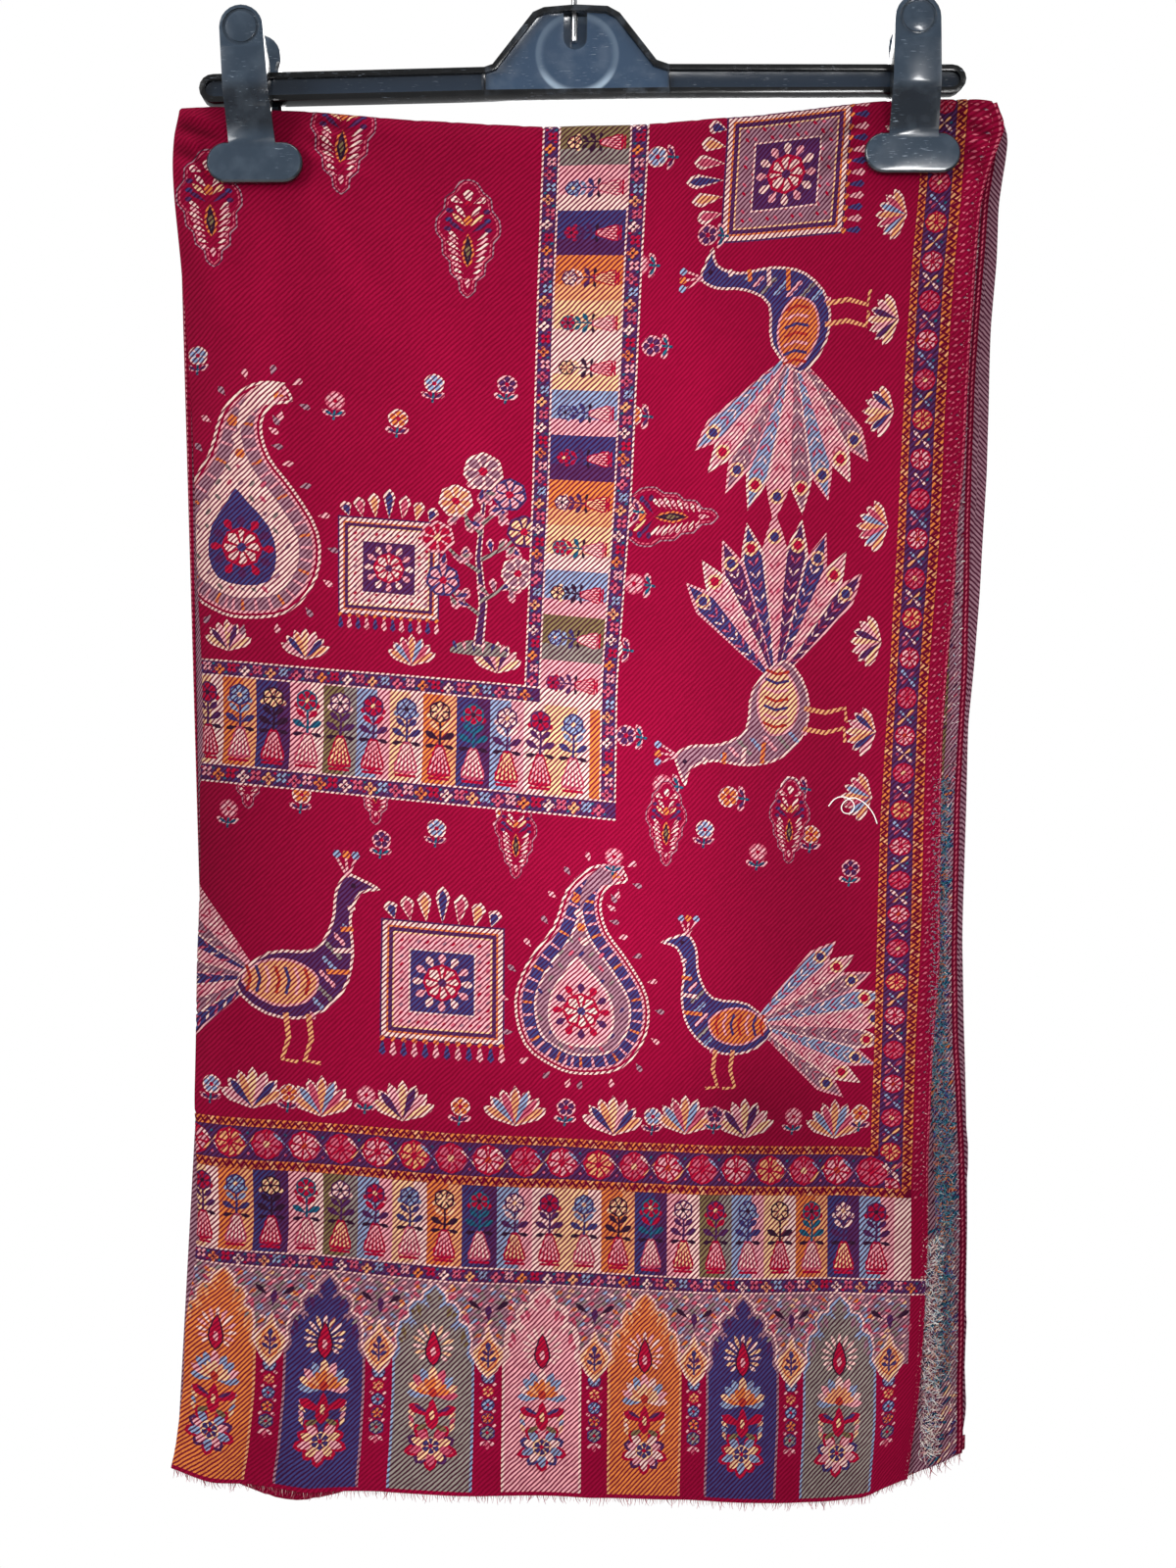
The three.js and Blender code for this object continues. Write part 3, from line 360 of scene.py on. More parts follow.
# The clips: two grey-blue plastic arms each, astride the bar, sprung together by a small
# wire coil, with a wide rounded jaw that bites the top fold of the cloth.
clip_plastic, tree, shader = nodes_of("clip_plastic")
spot = tree.nodes.new("ShaderNodeSeparateXYZ")
tree.links.new(tree.nodes.new("ShaderNodeTexCoord").outputs["Object"], spot.inputs[0])
# Painted shade: a darker band painted across each arm where it bends in and faces down towards the jaw.
shoulder = calc(tree, "SUBTRACT", ramp_between(tree, spot.outputs["Z"], -0.1255, -0.118),
                ramp_between(tree, spot.outputs["Z"], -0.106, -0.099))
body = blend_colour(tree, shoulder, linear(50, 64, 79), linear(28, 36, 46))
# Painted shade: the sides and rounded edges, turned away from the broad faces, are painted near-black.
body = blend_colour(tree, on_edges(tree), body, linear(5, 6, 8))
plain = place_group(tree, moulding, Colour=body, Worn_Colour=(0.42, 0.52, 0.62, 1), Gloss=0.15, Scuffs=0.9, Haze=0.05)
shader.inputs["Coat Weight"].default_value = 0.6
shader.inputs["Coat Roughness"].default_value = 0.07
surface(tree, shader, plain, 0.00003)
for side in ("left", "right"):
    for face in ("front", "rear"):
        arm = softened(f"clip_{side}_{face}", f"clip_arm_{side}_{face}", 0.0004, clip_plastic)
        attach(arm, "root")
        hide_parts(f"clip_{side}_{face}")
    coil = softened(f"clip_{side}_spring", f"clip_coil_{side}", 0.00008, steel, 60)
    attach(coil, "root")
    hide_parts(f"clip_{side}_spring")

# The front of the shawl: the last third of its length, woven wool and silk twill, its
# patterned face out. It is folded lengthwise at the left, hangs from the clips and runs
# over the top into the rear third. Its pattern is woven with small coloured shuttles.
WALL = 1.1
ROLL_LENGTH = 12.0
RETURN = 6.0
TOP_LINE = 654.0
FOLD_RADIUS = 1.4
FOLD_LIMB = 1.4
FRONT_WIDTH = 354.0
FIRST_U = FOLD_RADIUS - pi * FOLD_RADIUS - FOLD_LIMB
PINCHED_HALF = 3.05
LOOSE_HALF = 6.1
PINCH_REACH = 85.0
JAWS = [(-153.9, -136.2), (159.0, -131.6)]
JAW_HALF = (22.8, 9.5)

TOP_FOLD = [(-189.6, -108.2), (-174.0, -107.3), (-144.6, -109.2), (-127.8, -109.8), (-79.6, -114.0),
            (-14.1, -117.3), (28.0, -116.1), (85.6, -111.7), (132.9, -105.8), (147.4, -104.6),
            (173.1, -103.9), (196.0, -103.9), (205.0, -106.5)]
FRONT_HEM = [(-195.0, -759.4), (-174.6, -764.6), (-156.5, -765.0), (-129.0, -769.8), (-95.5, -768.0),
             (-46.6, -769.9), (5.6, -771.8), (51.7, -771.3), (96.4, -773.6), (120.1, -774.1),
             (136.4, -772.2), (144.8, -767.6), (156.5, -762.4)]
OPENING = [(-103, 3.9), (-125, 4.3), (-180, 5.1), (-300, 5.7), (-450, 6.1), (-700, 6.1), (-775, 5.8)]
DRAPES = [(-122, 24, 2.2, -190, -330), (-64, 34, -2.4, -150, -420), (-6, 26, 1.6, -170, -480),
          (62, 36, -2.8, -160, -420), (128, 20, 2.4, -180, -360), (160, 14, -0.8, -260, -500)]
# How the two long edges of the stack fall back: where it starts, how far, how deep.
EDGE_FALL = [(-1, 30.0, 4.6), (1, 46.0, 4.0)]
# Lines that run down the cloth, as (height, place across).
LEFT_FOLD = [(-103.0, -187.6), (-109.1, -188.8), (-116.1, -190.9), (-124.4, -192.3), (-136.1, -192.8),
             (-151.5, -191.9), (-180.3, -189.1), (-222.2, -185.8), (-268.8, -183.5), (-338.7, -181.2),
             (-385.2, -178.8), (-410.8, -178.4), (-431.8, -180.2), (-469.1, -179.8), (-524.9, -181.6),
             (-583.1, -182.6), (-641.4, -180.9), (-664.6, -182.8), (-687.9, -186.7), (-720.5, -187.9),
             (-753.1, -192.3), (-762.0, -194.9)]
FRAME_LEFT = [(-105.8, -15.8), (-119.8, -16.8), (-199.0, -19.6), (-292.1, -21.9), (-385.2, -25.6),
              (-455.1, -26.6), (-599.4, -27.0), (-767.1, -27.5)]
FRAME_RIGHT = [(-105.8, 34.5), (-119.8, 34.0), (-199.0, 29.8), (-292.1, 25.6), (-385.2, 18.6),
               (-455.1, 17.7), (-599.4, 18.2), (-767.1, 17.2)]
BORDER_IN = [(-104.4, 166.2), (-148.7, 162.5), (-187.3, 158.8), (-226.0, 156.0), (-265.1, 154.1),
             (-313.5, 151.8), (-388.5, 147.6), (-446.7, 143.9), (-495.1, 142.5), (-550.5, 141.1),
             (-606.4, 139.2), (-664.6, 139.2), (-734.5, 138.8), (-767.1, 136.4)]
BORDER_OUT = [(-104.4, 186.3), (-148.7, 183.0), (-187.3, 179.3), (-226.0, 176.5), (-265.1, 174.2),
              (-313.5, 172.3), (-388.5, 166.2), (-446.7, 164.4), (-495.1, 163.4), (-550.5, 160.7),
              (-626.0, 158.3), (-664.6, 158.3), (-734.5, 156.0), (-767.1, 152.7)]
# The right-hand edges of the stack: height, then how far across the front's selvedge,
# the folded-back half's, the hidden layers' and the rear's each hang.
RIGHT_EDGES = [
    (-103.3, 197.6, 197.0, 189.0, 198.4), (-109.5, 200.4, 199.5, 193.5, 204.0),
    (-115.0, 204.6, 202.5, 197.5, 206.8), (-120.3, 203.6, 201.5, 199.5, 206.4),
    (-127.7, 200.2, 200.0, 200.0, 205.8), (-137.0, 197.0, 198.8, 199.0, 204.2),
    (-152.4, 192.3, 196.2, 197.5, 202.0), (-179.9, 190.0, 194.3, 196.0, 201.5),
    (-212.0, 187.8, 191.6, 194.5, 199.2), (-245.0, 185.7, 189.6, 193.0, 198.6),
    (-282.8, 183.9, 188.2, 191.5, 197.8), (-306.5, 181.1, 187.4, 190.2, 196.4),
    (-341.9, 179.3, 186.8, 189.0, 194.4), (-377.6, 175.8, 186.2, 188.0, 191.9),
    (-407.5, 173.5, 184.5, 186.6, 188.9), (-449.1, 172.6, 182.2, 184.2, 187.8),
    (-516.6, 172.3, 181.2, 183.0, 186.0), (-558.0, 169.0, 182.0, 184.0, 186.8),
    (-605.5, 166.7, 184.5, 186.0, 188.0), (-655.3, 166.2, 185.4, 186.8, 188.3),
    (-689.3, 164.4, 184.8, 186.0, 188.0), (-719.1, 162.5, 184.2, 185.4, 187.0),
    (-736.8, 160.2, 184.2, 185.4, 187.4), (-748.0, 158.6, 184.0, 185.0, 188.2),
    (-765.0, 156.4, 183.0, 182.0, 185.0),
]
FRONT_SELVEDGE, UNDER_SELVEDGE, INNER_SELVEDGE, REAR_SELVEDGE = (
    [(row[0], row[column]) for row in RIGHT_EDGES] for column in (1, 2, 3, 4))
FRAME_U, BLOCKS_U, BLOCKS_END, FIELD_FRAME_U = 153.0, 160.5, 189.5, 197.5
BORDER_U, BORDER_END = 326.5, 345.0
FRONT_LINES = [(FOLD_RADIUS, LEFT_FOLD), (FRAME_U, FRAME_LEFT), (FIELD_FRAME_U, FRAME_RIGHT),
               (BORDER_U, BORDER_IN), (BORDER_END, BORDER_OUT), (FRONT_WIDTH, FRONT_SELVEDGE)]
# Lines that run across it: the woven height, then where it hangs at each line above.
FRONT_ROWS = [
    (104.0, [-659.5, -670.2, -672.1, -674.9, -674.9, -674.9]),
    (150.4, [-613.4, -623.7, -625.5, -628.3, -628.8, -628.8]),
    (174.2, [-589.2, -599.4, -601.8, -605.0, -605.5, -605.5]),
    (333.0, [-430.4, -445.3, -449.5, -456.0, -456.5, -456.5]),
    (391.6, [-371.7, -384.8, -389.4, -395.5, -396.4, -396.9]),
]
# Small creases: two ends, how wide, how high; a ridge is positive, a trough negative.
FRONT_CREASES = [
    ((-193, -110), (-168, -119), 2.2, 2.6), ((-193, -116), (-168, -125), 1.9, -3.4),
    ((-193, -122), (-170, -131), 2.2, 2.2), ((-193, -128), (-172, -137), 2.0, -2.8),
    ((-192, -134), (-176, -142), 2.8, 1.6), ((-184, -104), (-170, -110), 1.8, -2.6),
    ((-129, -124), (-106, -134), 2.0, -2.6), ((-128, -113), (-108, -120), 1.8, -2.4),
    ((135, -118), (110, -126), 1.9, -3.2), ((134, -127), (112, -142), 2.4, -2.4),
    ((184, -115), (200, -124), 1.9, -2.8), ((183, -126), (200, -142), 2.2, -2.2),
    ((-186, -106), (-176, -114), 2.0, 1.2), ((-188, -150), (-160, -215), 6.0, 1.2),
    ((-129, -119), (-106, -127), 2.6, 1.7), ((-129, -130), (-98, -142), 3.2, 1.3),
    ((-128, -110), (-70, -124), 4.5, 1.2), ((-60, -124), (40, -132), 7.0, 1.0),
    ((-126, -148), (-90, -220), 7.0, 1.2), ((135, -113), (112, -119), 2.3, 1.9),
    ((135, -122), (104, -134), 2.8, 1.8), ((134, -133), (108, -158), 3.2, 1.4),
    ((183, -110), (199, -118), 2.2, 1.6), ((184, -121), (201, -131), 2.4, 1.7),
    ((184, -132), (194, -160), 3.0, 1.3), ((184, -146), (186, -200), 3.6, 1.2),
    ((-150, -150), (-142, -330), 9.0, 1.0), ((158, -146), (150, -320), 8.0, 0.7),
    ((-90, -150), (-30, -330), 14.0, 0.6), ((40, -170), (96, -420), 15.0, 0.7),
    ((-176, -500), (-168, -740), 7.0, 0.8), ((60, -560), (66, -765), 12.0, 0.8),
    ((-60, -600), (-66, -765), 11.0, 0.8), ((128, -640), (140, -765), 8.0, 0.9),
    ((-130, -690), (-128, -768), 8.0, 0.9), ((0, -690), (4, -770), 7.0, 0.7),
    ((110, -690), (112, -772), 5.0, 0.7),
]


def along(table, at, reach=5.0):
    """The table's value at a place, its corners eased over a short reach."""
    rows = np.array(sorted(table), float)
    total = 0.0
    for step in (-1.0, -0.5, 0.0, 0.5, 1.0):
        total = total + np.interp(np.asarray(at, float) + step * reach, rows[:, 0], rows[:, 1])
    return total / 5


def eased(value, low, high):
    share = np.clip((value - low) / (high - low), 0, 1)
    return share * share * (3 - 2 * share)


def pinched(x, z):
    """One at the jaws, fading to nothing a hand's width away."""
    most = 0.0
    for jaw_x, jaw_z in JAWS:
        aside = np.maximum(np.abs(x - jaw_x) - JAW_HALF[0] - 2, 0)
        below = np.maximum(jaw_z - JAW_HALF[1] - 2 - z, 0)
        most = np.maximum(most, 1 - eased(np.hypot(aside, below * 0.8) / PINCH_REACH, 0, 1))
    return most


def stack_half(x, z):
    loose = along(OPENING, z)
    return loose + (PINCHED_HALF - loose) * pinched(x, z)


def layer_gap(x, z):
    return 0.3 + 0.3 * (stack_half(x, z) - PINCHED_HALF) / (LOOSE_HALF - PINCHED_HALF)


def stack_middle(x, z):
    y = 0.0
    for centre, wide, deep, start, full in DRAPES:
        y = y + deep * eased(-z, -start, -full) * np.exp(-(((x - centre) / wide) ** 2))
    loose = 1 - pinched(x, z)
    y = y + 0.55 * loose * np.sin(x / 11.3 + 1.7 * np.sin(z / 27.0)) * np.sin(z / 15.1 + 1.3 * np.sin(x / 19.0))
    for side, reach, deep in EDGE_FALL:
        edge = along(LEFT_FOLD if side < 0 else REAR_SELVEDGE, z)
        share = np.clip(1 - side * (edge - x) / reach, 0, 1.2)
        y = y + deep * share * share * loose
    return y


# Painted light and shade, multiplied into the cloth's colour: brighter where the light pools in the middle,
# darker where shade falls along the edges and under the top fold; centre across and up, reach each way, how much.
PAINTED_LIGHT_AND_SHADE = [
    (-192, -300, 20, 330, -0.24), (-176, -480, 32, 120, -0.18), (16, -465, 62, 130, 0.26),
    (-50, -250, 62, 90, 0.14), (40, -215, 50, 80, 0.16), (98, -470, 40, 160, -0.20),
    (150, -500, 40, 170, -0.08), (-168, -440, 44, 140, -0.14), (0, -630, 280, 40, -0.17),
    (174, -260, 26, 200, -0.16), (78, -585, 34, 24, -0.24), (-60, -750, 44, 50, 0.18),
    (-120, -110, 90, 16, -0.16), (120, -108, 110, 16, -0.16), (180, -620, 24, 170, -0.12),
]


def nap_tone(x, z):
    tone = 1.0
    for at_x, at_z, wide, tall, amount in PAINTED_LIGHT_AND_SHADE:
        tone = tone + amount * np.exp(-(((x - at_x) / wide) ** 2) - ((z - at_z) / tall) ** 2)
    # The creases add painted shade in their troughs and a painted highlight on their ridges.
    return tone * np.clip(1 + 0.13 * creased(x, z, FRONT_CREASES), 0.4, 1.16)


def creased(x, z, creases):
    """How far small creases raise the cloth, with none of it between the jaws."""
    rise = 0.0
    for (x0, z0), (x1, z1), wide, high in creases:
        run = hypot(x1 - x0, z1 - z0)
        on = ((x - x0) * (x1 - x0) + (z - z0) * (z1 - z0)) / run
        off = ((x - x0) * (z1 - z0) - (z - z0) * (x1 - x0)) / run
        ends = eased(on, -0.25 * run, 0.3 * run) * (1 - eased(on, 0.6 * run, 1.25 * run))
        rise = rise + high * ends * np.exp(-((off / wide) ** 2))
    clear = 1.0
    for jaw_x, jaw_z in JAWS:
        away = np.hypot(np.maximum(np.abs(x - jaw_x) - JAW_HALF[0], 0),
                        np.maximum(np.abs(z - jaw_z) - JAW_HALF[1], 0))
        clear = clear * eased(away, 0.5, 5)
    return rise * clear


def between_lines(u, z, lines):
    """The place across of a woven line at a height, from the lines that run down the cloth."""
    keys = np.array([key for key, _ in lines])
    places = np.array([along(table, z) for _, table in lines])
    i = np.clip(np.searchsorted(keys, u) - 1, 0, len(keys) - 2)
    share = (u - keys[i]) / (keys[i + 1] - keys[i])
    n = np.arange(len(u))
    return places[i, n] + share * (places[i + 1, n] - places[i, n])


def front_height(u, v):
    """The height at which a point of the front third hangs."""
    keys = [key for key, _ in FRONT_LINES]
    hem = along(FRONT_HEM, between_lines(u, np.full(len(u), -765.0), FRONT_LINES), 3)
    x_top = between_lines(u, np.full(len(u), -110.0), FRONT_LINES)
    fold = along(TOP_FOLD, x_top)
    fold = fold - stack_half(x_top, fold)
    levels = [(0.0, hem)] + [(v0, np.interp(u, keys, row)) for v0, row in FRONT_ROWS] + [(TOP_LINE, fold)]
    z = levels[0][1] + 0 * v
    for (v0, z0), (v1, z1) in zip(levels, levels[1:]):
        share = np.clip((v - v0) / (v1 - v0), 0, 1)
        z = np.where(v >= v0, z0 + share * (z1 - z0), z)
    return z


def bent_left(u, deep, x_start, radius):
    """Round the lengthwise fold: the place across and the depth of a point past its start."""
    angle = np.clip((FOLD_RADIUS - u) / FOLD_RADIUS, 0, pi)
    limb = np.maximum(FOLD_RADIUS - pi * FOLD_RADIUS - u, 0)
    x = x_start - (radius - deep) * np.sin(angle) + limb
    down = radius - (radius - deep) * np.cos(angle)
    flat = u >= FOLD_RADIUS
    return np.where(flat, x_start, x), np.where(flat, deep, down)


def front_place(u, v, deep):
    """Where a point of the front third hangs, in millimetres, deep below its face."""
    z = front_height(u, np.minimum(v, TOP_LINE))
    x = between_lines(np.maximum(u, FOLD_RADIUS), z, FRONT_LINES)
    radius = WALL + layer_gap(x, z) / 2
    x, down = bent_left(u, deep, x + np.where(u < FOLD_RADIUS, radius - FOLD_RADIUS, 0), radius)
    rise = np.maximum(creased(x, z, FRONT_CREASES), -0.1) * eased(u, FIRST_U, 10) * (deep < WALL / 2)
    y = stack_middle(x, z) - stack_half(x, z) + down - rise
    top = along(TOP_FOLD, x)
    size = stack_half(x, top)
    centre = top - size
    angle = pi * np.clip((v - TOP_LINE) / ROLL_LENGTH, 0, 1)
    over = v > TOP_LINE
    fade = rise * (1 - eased(angle, 0, 1.2))
    y_over = stack_middle(x, centre) - (size - down + fade) * np.cos(angle)
    z_over = centre + (size - down) * np.sin(angle)
    after = np.maximum(v - TOP_LINE - ROLL_LENGTH, 0)
    z_over = np.where(angle >= pi, centre - after, z_over)
    y_over = np.where(angle >= pi, stack_middle(x, centre - after) + stack_half(x, centre - after) - down, y_over)
    return np.stack([x, np.where(over, y_over, y), np.where(over, z_over, z)], 1)


# Dyes of the floats, as they look on a card, and of the ground seen between them.
DYES = {
    "crimson": ((147, 6, 52), (117, 2, 37)), "deep": ((106, 4, 38), (88, 3, 30)),
    "red": ((180, 18, 52), (118, 4, 38)), "rose": ((206, 96, 118), (116, 8, 42)),
    "pink": ((236, 170, 176), (116, 22, 52)), "pale": ((244, 208, 198), (112, 34, 58)),
    "cream": ((240, 198, 150), (116, 28, 46)), "peach": ((234, 168, 114), (124, 30, 44)),
    "orange": ((224, 128, 62), (116, 20, 40)), "rust": ((188, 64, 42), (108, 8, 34)),
    "purple": ((80, 44, 92), (62, 14, 46)), "blue": ((62, 62, 116), (54, 18, 54)),
    "sky": ((146, 164, 196), (66, 34, 66)), "grey": ((148, 138, 130), (64, 28, 42)),
    "teal": ((34, 98, 122), (30, 40, 66)), "dark": ((54, 30, 52), (40, 12, 32)),
    "olive": ((130, 112, 76), (66, 30, 36)), "mauve": ((166, 124, 138), (80, 28, 50)),
}


def oval(u, v, wide, tall, sides=8, turn=0.0):
    return [(u + wide * cos(2 * pi * i / sides + turn), v + tall * sin(2 * pi * i / sides + turn))
            for i in range(sides)]


def box(u0, v0, u1, v1):
    return [(u0, v0), (u1, v0), (u1, v1), (u0, v1)]


SMALL_PETAL = 3.4


def petal(u, v, reach, wide, turn, blunt=0.6):
    """A leaf shape from a point outwards; turn is its direction in degrees from straight up."""
    side = [(0.0, 0.0), (0.45, 0.28), (1.0, blunt), (0.7, 0.86), (0.0, 1.0)]
    if reach < SMALL_PETAL:
        side = [(0.0, 0.0), (0.85, 0.38), (0.85, 0.8), (0.0, 1.0)]
    shape = [(w * wide / 2, t * reach) for w, t in side] + [(-w * wide / 2, t * reach) for w, t in side[-2:0:-1]]
    a = radians(turn)
    return [(u + x * cos(a) + y * sin(a), v - x * sin(a) + y * cos(a)) for x, y in shape]


def ribbon(path, width, tip=None):
    """A stem, tail or trunk along a path, tapering to tip."""
    tip = width if tip is None else tip
    left, right = [], []
    for i, (u, v) in enumerate(path):
        before, after = path[max(i - 1, 0)], path[min(i + 1, len(path) - 1)]
        du, dv = after[0] - before[0], after[1] - before[1]
        size = hypot(du, dv) or 1
        w = (width + (tip - width) * i / (len(path) - 1)) / 2
        left.append((u - dv / size * w, v + du / size * w))
        right.append((u + dv / size * w, v - du / size * w))
    return left + right[::-1]


def rounded(points, steps=3):
    """A closed outline through a few points, eased between them."""
    out = []
    count = len(points)
    for i in range(count):
        p0, p1, p2, p3 = (np.array(points[(i + k - 1) % count], float) for k in range(4))
        for s in range(steps):
            t = s / steps
            out.append(tuple(0.5 * (2 * p1 + (p2 - p0) * t + (2 * p0 - 5 * p1 + 4 * p2 - p3) * t * t
                                    + (3 * p1 - p0 - 3 * p2 + p3) * t ** 3)))
    return out


def shrunk(points, by):
    """The same outline drawn in by a width all round."""
    area = sum(a[0] * b[1] - b[0] * a[1] for a, b in zip(points, points[1:] + points[:1]))
    way = 1 if area > 0 else -1
    out = []
    for i, (u, v) in enumerate(points):
        a, b = points[i - 1], points[(i + 1) % len(points)]
        du, dv = b[0] - a[0], b[1] - a[1]
        size = hypot(du, dv) or 1
        out.append((u - way * dv / size * by, v + way * du / size * by))
    return out


def edged(points, line, fill, width=0.8):
    return [(points, line), (shrunk(points, width), fill)]


def moved(shapes, u=0.0, v=0.0, size=1.0, turn=0.0, flip=1):
    a = radians(turn)
    return [([(u + size * (flip * x * cos(a) + y * sin(a)), v + size * (-flip * x * sin(a) + y * cos(a)))
              for x, y in points], dye) for points, dye in shapes]


def flower(radius, petals, fill, line, heart, wide=0.72, start=0.0):
    shapes = []
    for i in range(petals):
        turn = start + 360 * i / petals
        shapes.append((petal(0, 0, radius, radius * wide * 5 / petals + radius * 0.2, turn, 0.68), line))
        shapes.append((petal(0.12 * radius * sin(radians(turn)), 0.12 * radius * cos(radians(turn)),
                             radius * 0.74, radius * wide * 3.4 / petals, turn, 0.7), fill))
    shapes.append((oval(0, 0, radius * 0.24, radius * 0.24, 6), heart))
    return shapes


def spray(blades, reach, wide, spread, dyes):
    """Blades fanned from a point, the middle one on top."""
    shapes = []
    order = sorted(range(blades), key=lambda i: -abs(i - (blades - 1) / 2))
    for i in order:
        turn = spread * (2 * i / (blades - 1) - 1)
        shapes.append((petal(0, 0, reach * (1 - 0.2 * abs(turn) / 90), wide, turn, 0.62), dyes[i % len(dyes)]))
    return shapes


def zigzag_guard(u0, v0, u1, v1, down):
    """A narrow guard stripe: orange darts on both sides of a deep red zigzag."""
    shapes = [(box(u0, v0, u1, v1), "deep")]
    length, width = (v1 - v0, u1 - u0) if down else (u1 - u0, v1 - v0)
    step, half = 3.4, width / 2
    for i in range(int(length / step)):
        t = i * step
        darts = [[(0.15, t), (half + 0.35, t + step * 0.5), (0.15, t + step * 0.98)],
                 [(width - 0.15, t + step * 0.5), (half - 0.35, t + step), (width - 0.15, t + step * 1.48)]]
        for k, dart in enumerate(darts):
            shapes.append(([(u0 + a, v0 + b) if down else (u0 + b, v0 + a) for a, b in dart],
                           "orange" if (i + k) % 4 else "peach"))
    return shapes


def rosette_guard(u0, v0, u1, v1, down):
    """The blue-purple stripe of eight-petalled rosettes and small crossed leaves."""
    shapes = [(box(u0, v0, u1, v1), "purple")]
    length, width = (v1 - v0, u1 - u0) if down else (u1 - u0, v1 - v0)
    fills = [("pink", "red"), ("peach", "red"), ("rose", "cream"), ("pink", "rust"), ("rose", "red")]
    crosses = ["pale", "peach", "sky", "rose"]
    place = (lambda a, b: (u0 + a, v0 + b)) if down else (lambda a, b: (u0 + b, v0 + a))
    for i in range(int(length / 17.2) + 1):
        fill, heart = fills[i % len(fills)]
        u, v = place(width / 2, 17.2 * i + 5.0)
        shapes += moved(flower(width * 0.46, 8, fill, "red", heart, 1.5), u, v)
        u, v = place(width / 2, 17.2 * i + 13.6)
        lean = 45 if i % 2 else -45
        for turn in (lean, lean + 180):
            shapes.append((petal(u, v, width * 0.5, 1.7, turn), crosses[i % 4]))
        for turn in (lean + 90, lean + 270):
            shapes.append((petal(u, v, width * 0.38, 1.3, turn), crosses[(i + 1) % 4]))
        for side in (-1, 1):
            su, sv = place(width / 2 + side * width * 0.3, 17.2 * i + 13.6)
            shapes.append((oval(su, sv, 0.8, 0.8, 5), "teal" if side > 0 else "rose"))
    return shapes


def flower_guard(u0, v0, u1, v1, down, pitch=6.0):
    """A narrow purple guard stripe of small flowers between two pale lines."""
    shapes = [(box(u0, v0, u1, v1), "pale")]
    edge = 0.8
    shapes.append((box(u0 + edge * down, v0 + edge * (not down), u1 - edge * down, v1 - edge * (not down)), "purple"))
    length, width = (v1 - v0, u1 - u0) if down else (u1 - u0, v1 - v0)
    place = (lambda a, b: (u0 + a, v0 + b)) if down else (lambda a, b: (u0 + b, v0 + a))
    fills = ["rose", "pink", "orange", "red", "pale", "rose", "peach", "sky"]
    for i in range(int(length / pitch)):
        u, v = place(width / 2 + (0.5 if i % 2 else -0.5), pitch * (i + 0.4))
        fill = fills[i % len(fills)]
        for turn in (0, 90, 180, 270):
            shapes.append((petal(u, v, width * 0.34, width * 0.26, turn + 45 * (i % 2), 0.7), fill))
        shapes.append((oval(u, v, 0.7, 0.7, 5), "dark"))
        for side in (-1, 1):
            su, sv = place(width / 2 + side * width * 0.24, pitch * (i + 0.92))
            shapes.append((oval(su, sv, 0.9, 0.6, 5), ("blue", "red", "teal")[(i + (side > 0)) % 3]))
    return shapes


BLOCK_DYES = ["cream", "orange", "blue", "pink", "olive", "sky", "cream", "orange", "blue", "sky", "pale"]


def block_plant(kind):
    """A potted flowering plant that fills one coloured block, 12 wide."""
    petals, leaf, urn, stripe = [("red", "purple", "red", "pink"), ("sky", "blue", "rose", "pale"),
                                 ("cream", "dark", "red", "pink"), ("red", "teal", "rose", "pale"),
                                 ("pale", "purple", "red", "cream")][kind % 5]
    shapes = []
    shapes.append((rounded([(-5.0, 2.6), (-3.6, 9.5), (-1.6, 15.6), (1.6, 15.6), (3.6, 9.5), (5.0, 2.6)], 2), urn))
    for i in (-2, -1, 0, 1, 2):
        shapes.append((ribbon([(i * 2.0, 3.4), (i * 1.3, 9), (i * 0.5, 14.6)], 1.0, 0.5), stripe))
    shapes.append((box(-4.6, 0.6, 4.6, 1.8), "red"))
    shapes.append((ribbon([(0, 15.5), (0.3, 21), (0, 28)], 1.2, 0.9), leaf))
    for side in (-1, 1):
        shapes.append((petal(0, 17.5, 7.2, 3.0, side * 62), leaf))
        shapes.append((petal(0, 21.5, 6.0, 2.6, side * 48), petals if kind % 2 else leaf))
        shapes.append((petal(side * 1.0, 15.5, 5.4, 2.0, side * 100), "dark"))
        shapes.append((oval(side * 4.4, 27.5, 1.3, 1.3, 6), petals))
    shapes += moved(flower(4.8, 6, petals, leaf, "cream" if kind % 2 else "dark", 1.1), 0, 29.6)
    return shapes


def block_band(u0, v0, u1, v1, pitch, first, down):
    """Coloured blocks, each with its plant; in the upright band the plants lie over."""
    shapes = []
    length = (v1 - v0) if down else (u1 - u0)
    for i in range(int(length / pitch) + 1):
        start, end = i * pitch, min((i + 1) * pitch, length)
        dye = BLOCK_DYES[(i + first) % len(BLOCK_DYES)]
        other = {"cream": "pale", "orange": "peach", "blue": "purple", "pink": "pale", "olive": "grey", "sky": "pink",
                 "pale": "cream"}[dye]
        if down:
            shapes += [(box(u0, v0 + start, u1, v0 + end), dye)]
            if end - start > 8:
                shapes += [(box(u0, v0 + start, u1, v0 + start + 0.36 * pitch), other)]
                shapes += moved(block_plant(i), u1 - 1, v0 + (start + end) / 2, 0.74 * (u1 - u0) / 29, -90)
        else:
            shapes += [(box(u0 + start, v0, u0 + end, v1), dye)]
            if end - start > 8:
                shapes += [(box(u0 + start + 0.62 * pitch, v0, u0 + end, v1), other)]
                shapes += moved(block_plant(i), u0 + (start + end) / 2, v0 + 1.2, (v1 - v0) / 38)
    return shapes


